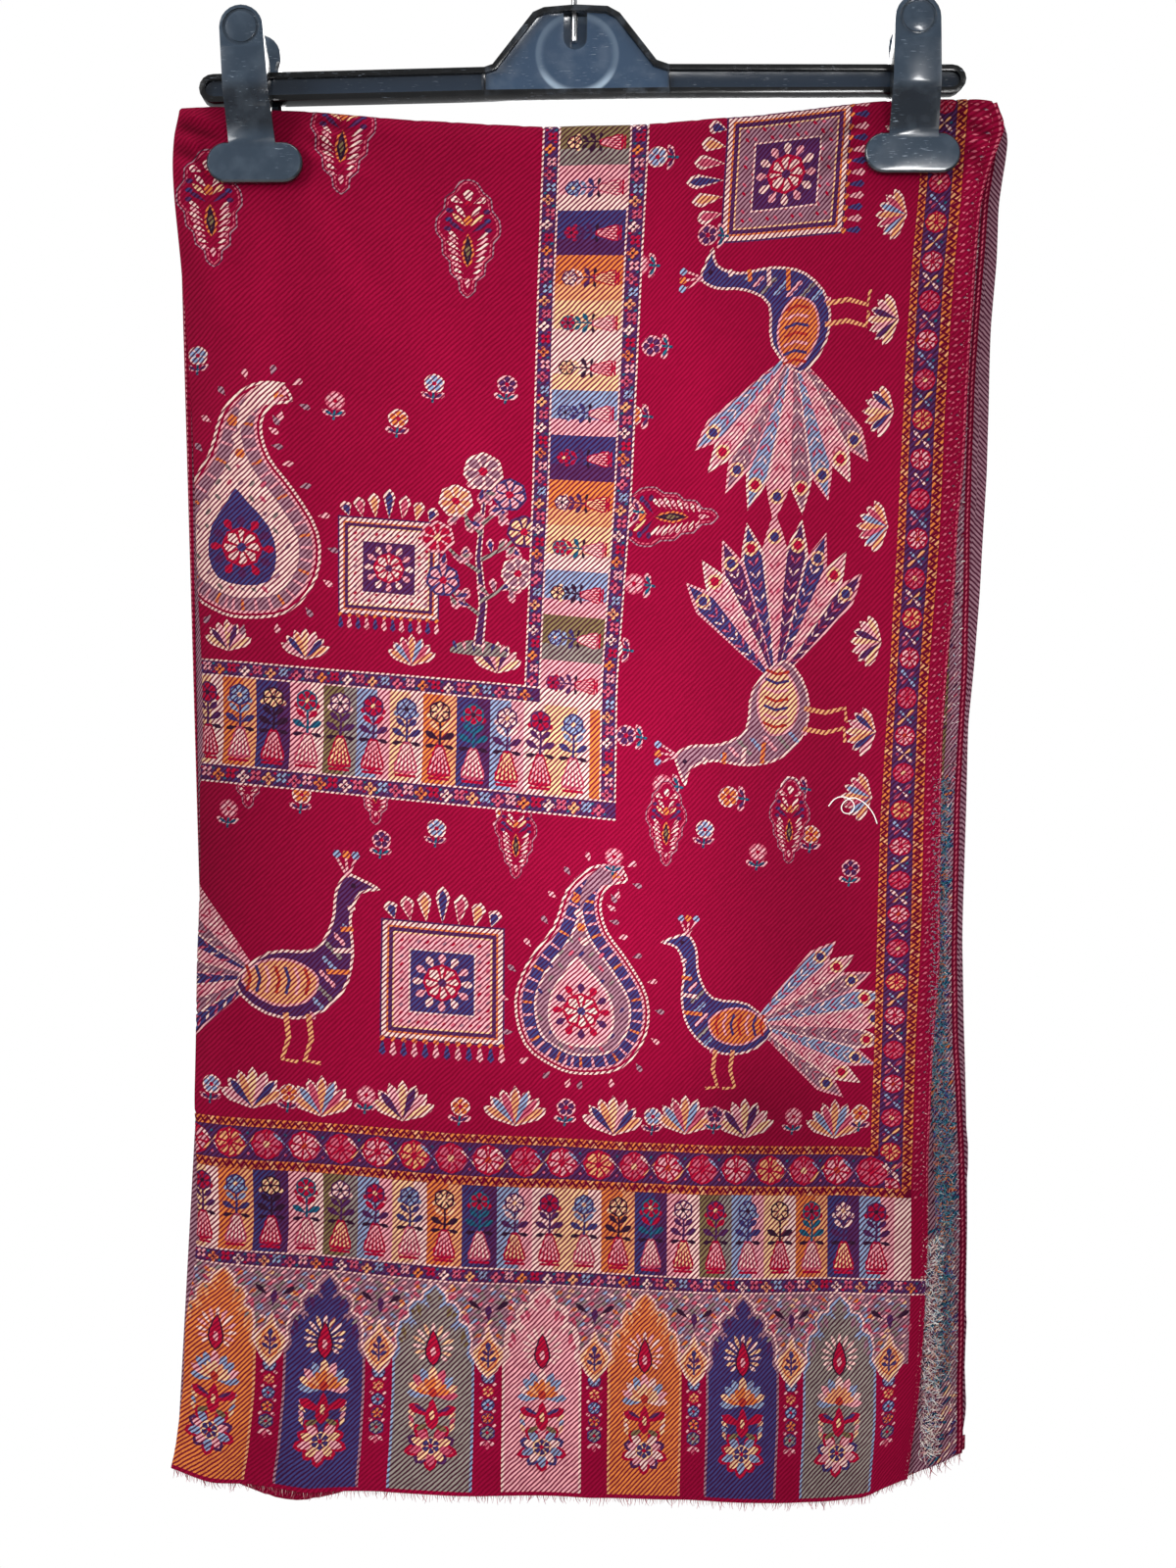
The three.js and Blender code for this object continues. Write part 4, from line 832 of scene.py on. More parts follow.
ARCH_SIDE = [
    (18.6, 0), (18.6, 66), (16.2, 70), (16.9, 76), (15.4, 83), (11.0, 85.2), (11.6, 90), (9.4, 93.6),
    (5.4, 94.2), (4.8, 98), (0, 102.6),
]


def arch_outline(inset):
    """A wide-shouldered cusped arch, drawn in by an inset."""
    side = [(max(u - inset, 0), v - inset * (v > 0)) for u, v in ARCH_SIDE]
    return side + [(-u, v) for u, v in side[-2::-1]]


def arch_bouquet(kind):
    """The bouquet under an arch: lotus at the foot, leaves, a spread flower, a pointed bud."""
    petal_a, petal_b, glow = [("pink", "sky", "cream"), ("cream", "pink", "orange"), ("cream", "rose", "orange"),
                              ("pale", "sky", "orange"), ("pink", "pale", "cream"), ("cream", "sky", "orange"),
                              ("pale", "pink", "peach")][kind % 7]
    edge = ["purple", "red", "purple", "blue", "purple", "red", "blue"][kind % 7]
    shapes = []
    for i in range(9):
        shapes.append((petal(0, 24, 11.0 if i % 2 else 12.4, 6.2, 180 + (i - 4) * 36, 0.6), edge if i % 2 else "red"))
    for i in range(9):
        shapes.append((petal(0, 24, 9.2 if i % 2 else 10.4, 4.2, 180 + (i - 4) * 36, 0.62),
                       petal_a if i % 2 else petal_b))
    shapes += moved(flower(4.6, 6, "blue", "cream", "red", 1.2), 0, 24)
    for side in (-1, 1):
        for k in range(4):
            shapes.append((petal(side * (8.2 - 0.5 * k), 31.0 + 3.2 * k, 4.6, 2.1, side * (20 + 14 * k)),
                           petal_b if k % 2 else "cream"))
        shapes.append((petal(side * 0.4, 38, 11.5, 4.8, side * 62, 0.7), "red"))
        shapes.append((petal(side * 0.6, 39.4, 8.6, 2.0, side * 62, 0.7), edge))
        shapes.append((petal(side * 0.4, 35, 7.4, 2.8, side * 118, 0.6), "olive"))
    shapes.append((rounded([(0, 32), (3.0, 36), (2.2, 42), (0, 47), (-2.2, 42), (-3.0, 36)], 2), "red"))
    shapes.append((oval(0, 39, 1.2, 2.6, 6), "cream"))
    fan = spray(9, 14.5, 4.4, 88, ["sky", petal_a, petal_b])
    shapes += moved(fan, 0, 48.5)
    shapes += moved(spray(7, 9.6, 3.2, 70, [glow, "peach", glow]), 0, 48.5)
    shapes.append((oval(0, 50, 2.0, 2.4, 8), "rust"))
    for i in range(13):
        turn = -126 + 21 * i
        shapes.append((petal(3.4 * sin(radians(turn)), 71 + 4.6 * cos(radians(turn)), 6.0 + 2.4 * cos(radians(turn)),
                             2.0, turn), petal_a if i % 2 else "pale"))
    drop = rounded([(0, 62.5), (3.6, 67.5), (3.2, 73), (0, 80.5), (-3.2, 73), (-3.6, 67.5)], 2)
    shapes += edged(drop, "dark", "red", 0.7)
    shapes.append((oval(0, 69.6, 1.3, 2.6, 6), "pink"))
    return shapes


def strip_column():
    """Small flowers one above another on the crimson strip between two arches."""
    shapes = []
    rows = ((58.0, "sky", "purple", 5, 3.4), (51.2, "peach", "red", 6, 3.0), (44.6, "sky", "blue", 5, 3.2),
            (38.0, "orange", "purple", 5, 3.0), (31.0, "grey", "blue", 6, 3.6))
    for v, fill, line, petals, radius in rows:
        shapes += moved(flower(radius, petals, fill, line, "red", 1.0), 0, v)
    for side in (-1, 1):
        for v in (61.6, 54.6, 47.8, 41.4, 34.6):
            shapes.append((oval(side * 2.9, v, 1.0, 0.9, 6), "pink"))
    shapes += moved(spray(3, 4.6, 2.0, 50, ["pink", "rose"]), 0, 27.4, 1, 180)
    return shapes


def lantern():
    """The cusped diamond that caps a strip, with a blue sprig in it."""
    outline = rounded([(0, 57), (7.4, 68), (6.2, 73), (2.8, 76.5), (0, 84), (-2.8, 76.5), (-6.2, 73), (-7.4, 68)], 2)
    shapes = edged(outline, "pale", "cream", 0.9)
    shapes += edged(rounded([(0, 61), (5.0, 68.4), (0, 77), (-5.0, 68.4)], 2), "orange", "peach", 0.7)
    shapes.append((ribbon([(0, 63), (0, 72)], 0.9), "blue"))
    for side in (-1, 1):
        shapes.append((petal(0, 65.5, 4.4, 2.0, side * 55), "blue"))
        shapes.append((petal(0, 68.5, 4.0, 1.8, side * 42), "purple"))
    shapes.append((petal(0, 70, 5.4, 2.6, 0), "blue"))
    shapes.append((petal(0, 85.5, 8.4, 3.2, 0), "purple"))
    for side in (-1, 1):
        shapes.append((petal(side * 3.0, 91.0, 7.6, 2.6, side * 52), "dark"))
        shapes.append((petal(side * 8.5, 83.5, 5.0, 2.0, side * 20), "rose"))
        shapes.append((oval(side * 6.2, 98.0, 1.6, 1.0, 6), "sky"))
    return shapes


def arch_zone(first_u, last_u, centres, top=103.8):
    """Seven cusped arches of different grounds under a pale spandrel, crimson strips between."""
    grounds = [("orange", "peach", "peach"), ("blue", "purple", "mauve"), ("grey", "olive", "sky"),
               ("pink", "rose", "pale"), ("orange", "peach", "peach"), ("blue", "purple", "mauve"),
               ("grey", "mauve", "sky")]
    shapes = [(box(first_u, 66, last_u, top), "mauve")]
    speck = ["pink", "grey", "pale", "sky", "rose", "mauve", "pink", "grey", "cream"]
    for j in range(13):
        for i in range(int((last_u - first_u) / 3.1)):
            u, v = first_u + 3.1 * i + 1.5 * (j % 2), 66.5 + 2.9 * j
            shapes.append((petal(u, v, 3.6, 2.1, 47 + 14 * ((i * 7 + j * 3) % 5)),
                           speck[(i * 5 + j * 7 + i * j) % 9]))
    for i, centre in enumerate(centres):
        ground, shade, line = grounds[i % 7]
        shapes += moved([(arch_outline(-1.0), "pale"), (arch_outline(0), line), (arch_outline(1.3), ground)], centre)
        for k, (u, v) in enumerate(ARCH_SIDE[3:-1]):
            for side in (-1, 1):
                shapes.append((petal(centre + side * (u + 1.2), v + 1.2, 4.2, 2.0, side * 55),
                               ("orange", "sky", "rose")[k % 3]))
                shapes.append((petal(centre + side * (u - 3.4), v - 3.4, 3.6, 1.8, side * 40),
                               (shade, "grey", line)[k % 3]))
        for side in (-1, 1):
            shapes += moved([(petal(side * 12.5, 74, 7.0, 2.2, side * 12), shade),
                             (petal(side * 9.5, 80, 6.0, 2.0, side * 18), line),
                             (petal(side * 6.0, 86, 6.0, 2.4, side * 14), shade)], centre)
        shapes += moved(arch_bouquet(i), centre)
    gaps = [(a + b) / 2 for a, b in zip(centres, centres[1:])] + [centres[0] - 24.7, centres[-1] + 24.7]
    for middle in gaps:
        shapes.append((box(middle - 6.2, 0, middle + 6.2, 66), "crimson"))
        shapes += moved(strip_column() + lantern(), middle)
    shapes.append((box(first_u, -1, last_u, 2.0), "crimson"))
    return shapes


def buti():
    """The hanging cone of flowers strewn on the field, inside a dull pink double line."""
    side = [(0, 0), (3.6, 3.4), (4.0, 8), (7.6, 11.4), (8.0, 17), (11.0, 20.4), (11.2, 27), (13.8, 31), (13.4, 38),
            (10.4, 42.4), (9.8, 48), (6.4, 51), (4.0, 55.4)]
    outline = rounded(side + [(0, 57)] + [(-u, v) for u, v in side[:0:-1]], 2)
    shapes = [(outline, "mauve"), (shrunk(outline, 0.7), "crimson"), (shrunk(outline, 1.3), "rose"),
              (shrunk(outline, 1.9), "crimson")]
    for side in (-1, 1):
        for k in range(8):
            reach = 4.2 + 0.62 * k if k < 6 else 6.4
            shapes.append((petal(side * (1.4 + 0.36 * k), 9.0 + 2.7 * k, reach, 2.0, side * (68 - 3 * k)),
                           "pale" if k % 2 else "pink"))
        for k in range(3):
            shapes.append((oval(side * (8.6 - 0.4 * k), 33.0 + 4.4 * k, 1.7, 1.3, 6), "blue" if k % 2 else "purple"))
        shapes.append((petal(side * 1.4, 31.5, 8.4, 2.2, side * 52), "purple"))
        shapes.append((petal(side * 1.0, 34.6, 8.0, 2.4, side * 44), "cream"))
        shapes.append((petal(side * 0.8, 38.2, 7.6, 2.4, side * 36), "pale"))
        shapes.append((petal(side * 2.2, 45.6, 5.8, 3.4, side * 66, 0.7), "pale"))
        shapes.append((petal(side * 2.6, 46.2, 3.6, 1.4, side * 66, 0.7), "rose"))
    shapes.append((petal(0, 4.4, 5.4, 2.6, 0), "pink"))
    shapes += edged(rounded([(0, 14.5), (2.8, 22), (0, 31), (-2.8, 22)], 2), "orange", "dark", 0.9)
    shapes.append((petal(0, 18.6, 7.0, 2.2, 0), "olive"))
    shapes.append((oval(0, 37.4, 1.9, 2.6, 8), "orange"))
    shapes.append((petal(0, 45.4, 6.6, 4.4, 0, 0.7), "pale"))
    shapes.append((oval(0, 45.6, 1.6, 1.4, 6), "red"))
    return shapes


def paisley(kind, tall=70.0):
    """A tall curled cone in bands of floats, hatched and dotted, with a rosette at its heart."""
    s = tall / 70
    band, inner, core = [("blue", "mauve", "pink"), ("purple", "pink", "sky"), ("mauve", "pale", "blue"),
                         ("blue", "pink", "cream")][kind % 4]
    cone = [(0, 0), (13, 3), (21, 14), (21.5, 27), (15, 39), (8.5, 48), (6.5, 57), (9.5, 63), (15, 65),
            (12, 70), (3.5, 69), (-4.5, 61), (-9, 48), (-17, 36), (-21, 23), (-18, 9), (-9, 2)]
    outline = rounded([(s * u, s * v) for u, v in cone], 3)
    fringe = shrunk(outline, -1.6)
    shapes = []
    for i in range(0, len(fringe), 2):
        a, b = fringe[i], fringe[(i + 1) % len(fringe)]
        turn = atan2(b[1] - a[1], a[0] - b[0]) * 180 / pi
        shapes.append((petal(a[0], a[1], 3.4, 1.9, turn + 20), "pink" if i % 4 else "mauve"))
    shapes += edged(outline, "pale", "crimson", 0.8)
    layer = shrunk(outline, 1.5)
    shapes += edged(layer, "pink", band, 0.8)
    for i in range(0, len(layer)):
        a, b = shrunk(layer, 1.0)[i], shrunk(layer, 4.2)[i]
        shapes.append((ribbon([a, b], 1.0, 0.7), "pink" if i % 3 else "orange"))
    layer = shrunk(layer, 4.6)
    shapes += edged(layer, "pale", inner, 0.8)
    for i in range(9):
        for k in range(8):
            u, v = s * (-12 + 3.2 * k + 1.6 * (i % 2)), s * (8 + 4.4 * i)
            if hypot(u / 13.5, (v - 21 * s) / 25) < s * 0.92:
                shapes.append((petal(u, v, 2.6, 1.2, 40 if i % 2 else -40), ("rose", band, "grey")[(i + k) % 3]))
    heart = [(0, 9), (8, 11), (10.5, 19), (8.5, 28), (2.5, 35), (-1.5, 39), (-5, 34), (-9.4, 27), (-10.5, 18),
             (-7.5, 11)]
    shapes += edged(rounded([(s * u, s * v) for u, v in heart], 2), "pale", core, 0.8)
    for i in range(12):
        turn = 30 * i
        shapes.append((petal(s * 5.2 * sin(radians(turn)), s * (21 + 5.2 * cos(radians(turn))), s * 4.0, s * 2.4,
                             turn), "red" if i % 2 else "purple"))
    shapes += moved(flower(6.0 * s, 8, "pale", "red", "blue", 1.2), 0, 21 * s)
    for k in range(4):
        shapes.append((oval(s * (1.0 - 0.9 * k), s * (44 + 4.6 * k), 1.5, 1.5, 6), "orange" if k % 2 else "pale"))
    return shapes


def peacock(kind):
    """A standing peacock, its tail trailing, 90 long and 70 tall."""
    body, wing, tails = [("purple", "peach", ("blue", "mauve", "pink")), ("blue", "orange", ("mauve", "pink", "sky")),
                         ("mauve", "cream", ("purple", "pink", "blue"))][kind % 3]
    shapes = []
    base = (-6, 27)
    for i in range(9):
        lean = -128 + 10.5 * i
        a = radians(lean)
        reach = 58 - 2.6 * abs(i - 4)
        shapes.append((petal(base[0], base[1], reach, 8.8, lean, 0.78), "pale" if i % 2 else "pink"))
        shapes.append((petal(base[0], base[1], reach - 1.6, 6.6, lean, 0.8), tails[i % 3]))
        for k in range(9):
            q = reach * (0.2 + 0.075 * k)
            for side in (-1, 1):
                shapes.append((petal(base[0] + q * sin(a), base[1] + q * cos(a), 3.4, 0.9, lean + side * 34),
                               "pale" if (i + k) % 2 else "rose"))
        eye = (base[0] + (reach - 9) * sin(a), base[1] + (reach - 9) * cos(a))
        shapes.append((oval(eye[0], eye[1], 2.7, 2.7, 8), "cream"))
        shapes.append((oval(eye[0], eye[1], 1.7, 1.7, 7), "red" if i % 2 else "blue"))
    outline = rounded([(-14, 24), (-4, 15), (10, 15), (20, 24), (23, 36), (22, 48), (25, 56), (31, 58), (25, 61),
                       (20, 62), (16.5, 56), (15.5, 46), (10, 37), (-4, 35)], 3)
    shapes += edged(outline, "pale", body, 0.9)
    for k in range(6):
        for m in range(3):
            shapes.append((petal(9.5 + 2.6 * m + 0.9 * k, 17 + 3.0 * m + 4.6 * k, 3.0, 1.7, 150),
                           ("pink", "sky", "grey")[(k + m) % 3]))
    shapes += edged(rounded([(-12, 25), (-2, 18), (9, 20), (12, 28), (4, 33), (-6, 32)], 3), "pink", wing, 0.8)
    for k in range(7):
        shapes.append((ribbon([(-10 + 3.0 * k, 22.0), (-9 + 3.0 * k, 26.4), (-10.4 + 3.0 * k, 30.5)], 1.0),
                       ("rust", "blue", "pink")[k % 3]))
    for k in range(4):
        shapes.append((ribbon([(14.4 + 2.1 * k, 30 + 7 * k), (21.8 + 0.4 * k, 30.5 + 7 * k)], 1.6),
                       "pale" if k % 2 else "orange"))
    shapes.append((oval(22.4, 58.4, 0.9, 0.9, 6), "dark"))
    for k in (-1, 0, 1):
        shapes.append((ribbon([(20.5, 61), (20 + 3 * k, 67)], 0.8), "pink"))
        shapes.append((oval(20 + 3 * k, 68.2, 1.4, 1.4, 6), "sky" if k else "orange"))
    for side in (0, 7):
        shapes.append((ribbon([(2 + side, 16), (3 + side, 8), (1 + side, 1), (6 + side, 0.4)], 1.8, 1.2), "peach"))
    return shapes


def flower_tree(kind, tall=92.0):
    """A small flowering tree on a mound, blossoms and leaves on every branch."""
    s = tall / 92
    shapes = [(rounded([(-13, 0), (-9, 5), (0, 7), (9, 5), (13, 0)], 2), "grey")]
    for k in range(6):
        shapes.append((petal(-10 + 4 * k, 1, 5.4, 1.8, -20 + 8 * k), "pink" if k % 2 else "blue"))
    shapes.append((ribbon([(0, 4), (1.5, 24), (-1.2, 46), (0.6, 74 * s)], 5.0, 1.8), "pale"))
    shapes.append((ribbon([(0, 5), (1.5, 24), (-1.2, 46), (0.6, 72 * s)], 3.2, 1.0), "purple"))
    blooms = [(-17, 34), (17, 40), (-20, 54), (19, 60), (-12, 72), (12, 77), (0, 87)]
    for i, (u, v) in enumerate(blooms):
        v = v * s
        shapes.append((ribbon([(0, v - 15), (u * 0.5, v - 9), (u, v)], 1.9, 1.2), "grey"))
        for k, lean in enumerate((-70, -30, 30, 70, 150)):
            share = 0.25 + 0.14 * k
            shapes.append((petal(u * share, v - 14 + 9 * share, 7.6, 3.8, lean + 20 * i), "pink"))
            shapes.append((petal(u * share, v - 13.6 + 9 * share, 6.0, 2.2, lean + 20 * i),
                           ("blue", "grey", "mauve")[(i + k) % 3]))
        fill, line = [("peach", "pale"), ("pink", "blue"), ("mauve", "pale"), ("red", "pink"),
                      ("cream", "purple")][(i + kind) % 5]
        heart = "red" if fill != "red" else "cream"
        shapes += moved(flower(9.2 if i == 6 else 8.0, 7, fill, line, heart, 1.15), u, v)
    return shapes


def medallion(kind):
    """A hanging panel with a rosette in a dark square, a scalloped crown and a row of
    tassels; 46 wide and 66 tall."""
    cloth, square = [("pink", "blue"), ("pale", "purple"), ("mauve", "purple")][kind % 3]
    shapes = edged(box(-23, 10, 23, 56), "purple", "pale", 1.0)
    shapes += edged(box(-20.6, 12.4, 20.6, 53.6), "orange", "purple", 1.0)
    shapes += edged(box(-18.4, 14.6, 18.4, 51.4), "cream", cloth, 0.9)
    for i in range(11):
        for k in range(11):
            shapes.append((petal(-16 + 3.2 * i, 16.4 + 3.1 * k, 2.2, 1.1, 47),
                           ("rose", "mauve", "red")[(i + 2 * k) % 3]))
    shapes += edged(box(-12.4, 20.6, 12.4, 45.4), "pale", square, 0.9)
    for turn in range(0, 360, 30):
        shapes.append((petal(6.2 * sin(radians(turn)), 33 + 6.2 * cos(radians(turn)), 5.0, 3.0, turn),
                       "pale" if turn % 60 else "pink"))
    shapes += moved(flower(7.2, 8, "pale", "red", "purple", 1.3), 0, 33)
    for i in range(12):
        u = -22 + 4 * i
        shapes.append((petal(u, 10, 6.6, 2.6, 180, 0.8), "pink" if i % 2 else "blue"))
        shapes.append((oval(u, 10, 1.1, 1.1, 6), "orange"))
    for i in range(7):
        u = -18 + 6 * i
        shapes.append((petal(u, 56, 7.0 + 2.4 * (3 - abs(i - 3)), 5.4, 6 * (i - 3), 0.7), "pale"))
        shapes.append((petal(u, 56.4, 5.2 + 2.4 * (3 - abs(i - 3)), 3.2, 6 * (i - 3), 0.7),
                       ("blue", "rose", "peach")[i % 3]))
    return shapes


def tuft(kind):
    """A tuft of broad grass blades at the foot of the band."""
    dyes = [["pink", "blue", "peach", "cream"], ["cream", "purple", "pink"], ["peach", "sky", "rose"]][kind % 3]
    outer = [(points, "pale") for points, _ in spray(7, 19, 5.4, 58, ["pale"])]
    return outer + moved(spray(7, 17, 3.6, 58, dyes), 0, 0.6)


def field_sprig(kind):
    """A small flower with two leaves, strewn between the larger figures."""
    fill, line = [("sky", "pale"), ("pink", "rose"), ("orange", "pale"), ("purple", "pink")][kind % 4]
    shapes = [(ribbon([(0, 0), (0.8, 6)], 1.0), "teal")]
    for side in (-1, 1):
        shapes.append((petal(0.3, 1.5, 5.6, 2.6, side * 60), "pink"))
        shapes.append((petal(0.3, 1.8, 4.2, 1.4, side * 60), "teal" if kind % 2 else "purple"))
    return shapes + moved(flower(4.2, 5, fill, line, "red", 1.05), 0.8, 8.4)


def border(first_v, last_v, u_in, with_foot):
    """The long border: rosettes between two zigzag guards, then specks to the selvedge."""
    shapes = []
    low = first_v
    shapes += rosette_guard(u_in + 3.5, low, u_in + 14.0, last_v, True)
    shapes += zigzag_guard(u_in, low + (16 if with_foot else 0), u_in + 3.5, last_v, True)
    shapes += zigzag_guard(u_in + 14.0, low, u_in + 18.5, last_v, True)
    for i in range(int((last_v - low) / 3.4)):
        v = low + 3.4 * i
        shapes.append((petal(u_in + 19.2, v + 0.6, 3.2, 1.2, 80 if i % 2 else 100), "rose"))
        shapes.append((oval(u_in + 23.6, v + 1.6, 0.9, 0.6, 4), "rose" if i % 3 else "mauve"))
    shapes.append((box(u_in + 26.4, low, u_in + 27.0, last_v), "rose"))
    return shapes


def strewn(pattern, motif, places, size, turn=0):
    for u, v, kind in places:
        pattern += moved(motif(kind), u, v, size, turn)


front_pattern = arch_zone(-5, 345, [15.0 + 49.35 * k for k in range(7)])
strewn(front_pattern, tuft, ((28, 179, 0), (60, 177, 2), (98, 178, 1), (150, 179, 2), (196, 177, 0), (232, 179, 2),
                             (262, 178, 1), (308, 178, 2)), 1.05)
strewn(front_pattern, field_sprig, ((8, 180, 0), (44, 178, 2), (80, 180, 1), (124, 178, 2), (173, 180, 3),
                                    (215, 178, 0), (246, 180, 3), (286, 180, 1), (320, 182, 2)), 1.1)
front_pattern += moved(peacock(0), 40, 202, 1.5)
front_pattern += moved(medallion(0), 116, 205, 1.26)
front_pattern += moved(paisley(0), 181, 206, 1.5)
front_pattern += moved(peacock(1), 258, 202, 1.24, 0, -1)
strewn(front_pattern, field_sprig, ((14, 312, 1), (48, 322, 2), (86, 304, 3), (112, 312, 0), (144, 322, 2),
                                    (196, 306, 1), (240, 322, 0), (266, 312, 1), (292, 322, 2), (312, 306, 3)), 1.1)
strewn(front_pattern, tuft, ((14, 396, 1), (50, 395, 0), (100, 396, 2), (140, 396, 1)), 0.8)
front_pattern += moved(paisley(2), 22, 412, 1.62)
front_pattern += moved(medallion(1), 89, 408, 1.02)
front_pattern += moved(flower_tree(1), 131, 404, 1.0)
strewn(front_pattern, field_sprig, ((64, 510, 1), (92, 504, 2), (108, 522, 0), (140, 524, 3), (4, 528, 0)), 1.1)
for u, v in ((15, 579), (70, 618), (123, 573)):
    front_pattern += moved(buti(), u, v)
strewn(front_pattern, tuft, ((322, 640, 0), (322, 606, 2), (322, 560, 1), (322, 520, 0), (322, 470, 2), (322, 420, 1),
                             (322, 380, 0), (322, 350, 2)), 0.8, -90)
front_pattern += moved(medallion(2), 305, 628, 1.27, -90)
front_pattern += moved(peacock(1), 308, 556, 1.33, -90)
front_pattern += moved(buti(), 240, 474, 1.0, -90)
front_pattern += moved(peacock(2), 308, 392, 1.33, -90, -1)
strewn(front_pattern, field_sprig, ((212, 640, 0), (206, 590, 1), (214, 552, 3), (206, 520, 2), (212, 442, 1),
                                    (204, 412, 0), (212, 372, 3), (230, 350, 1), (262, 346, 2), (292, 352, 0),
                                    (204, 476, 2), (238, 602, 3)), 1.2, -90)
for u, v in ((150, 300), (222, 312), (84, 320), (24, 322), (282, 316)):
    front_pattern += moved(buti(), u, v, 0.72)
front_pattern += flower_guard(-5, 103.8, 354, 111.6, False)
front_pattern += block_band(-5, 111.6, 345, 150.4, 16.3, 0, False)
front_pattern += [(box(BORDER_U, 150.4, 354, 680), "crimson")]
front_pattern += border(150.4, 667, BORDER_U, True)
front_pattern += rosette_guard(-5, 154.6, 333, 170.4, False)
front_pattern += zigzag_guard(-5, 150.4, 345, 154.8, False)
front_pattern += zigzag_guard(-5, 170.2, 330, 174.2, False)
front_pattern += block_band(-5, 342.3, 190, 383.7, 15.8, 0, False)
front_pattern += block_band(BLOCKS_U, 383.7, BLOCKS_END, 680, 21.2, 3, True)
front_pattern += flower_guard(-5, 333.2, FIELD_FRAME_U, 342.3, False)
front_pattern += flower_guard(-5, 383.7, BLOCKS_U, 391.6, False)
front_pattern += flower_guard(BLOCKS_END, 342.3, FIELD_FRAME_U, 680, True)
front_pattern += flower_guard(FRAME_U, 391.6, BLOCKS_U, 680, True)


def finely(ring, longest=6.0):
    """The outline with points added, so that no side is too long to follow the hang."""
    out = []
    for a, b in zip(ring, ring[1:] + ring[:1]):
        pieces = max(1, int(hypot(b[0] - a[0], b[1] - a[1]) / longest + 0.5))
        out += [(a[0] + (b[0] - a[0]) * k / pieces, a[1] + (b[1] - a[1]) * k / pieces) for k in range(pieces)]
    return out


BACK_COARSER = 2.2
BEND_LINES = [FOLD_RADIUS - pi * FOLD_RADIUS * k / 6 for k in range(7)]


def fits(points, u0, v0, u1, v1):
    us, vs = [p[0] for p in points], [p[1] for p in points]
    return max(us) > u0 and min(us) < u1 and max(vs) > v0 and min(vs) < v1


def within(spots, outline):
    """Which of the spots an outline goes round."""
    ring, on = outline, np.roll(outline, -1, 0)
    x, y = spots[:, :1], spots[:, 1:]
    up = (ring[:, 1] <= y) & (on[:, 1] > y)
    down = (ring[:, 1] > y) & (on[:, 1] <= y)
    rise = on[:, 1] - ring[:, 1]
    at = ring[:, 0] + (y - ring[:, 1]) * (on[:, 0] - ring[:, 0]) / np.where(rise == 0, 1, rise)
    return np.sum((up & (x < at)).astype(int) - (down & (x < at)), axis=1) != 0


def top_outline(spots, rings):
    """The number of the last outline laid over each spot."""
    top = np.zeros(len(spots), int)
    by_height = np.argsort(spots[:, 1])
    heights = spots[by_height, 1]
    for k in range(1, len(rings)):
        low, high = rings[k].min(axis=0), rings[k].max(axis=0)
        near = by_height[np.searchsorted(heights, low[1]):np.searchsorted(heights, high[1])]
        near = near[(spots[near, 0] > low[0]) & (spots[near, 0] < high[0])]
        top[near[within(spots[near], rings[k])]] = k
    return top


def dye_faces(mesh, names, counts):
    """Gives each face its dyes, of the floats and of the ground between them."""
    for k, layer in enumerate(("dye", "ground")):
        card = {dye: linear(*DYES[dye][k]) for dye in DYES}
        face_dyes = np.array([card[dye] for dye in names])
        shade = mesh.color_attributes.new(layer, "FLOAT_COLOR", "CORNER")
        shade.data.foreach_set("color", np.repeat(face_dyes, counts, axis=0).ravel())


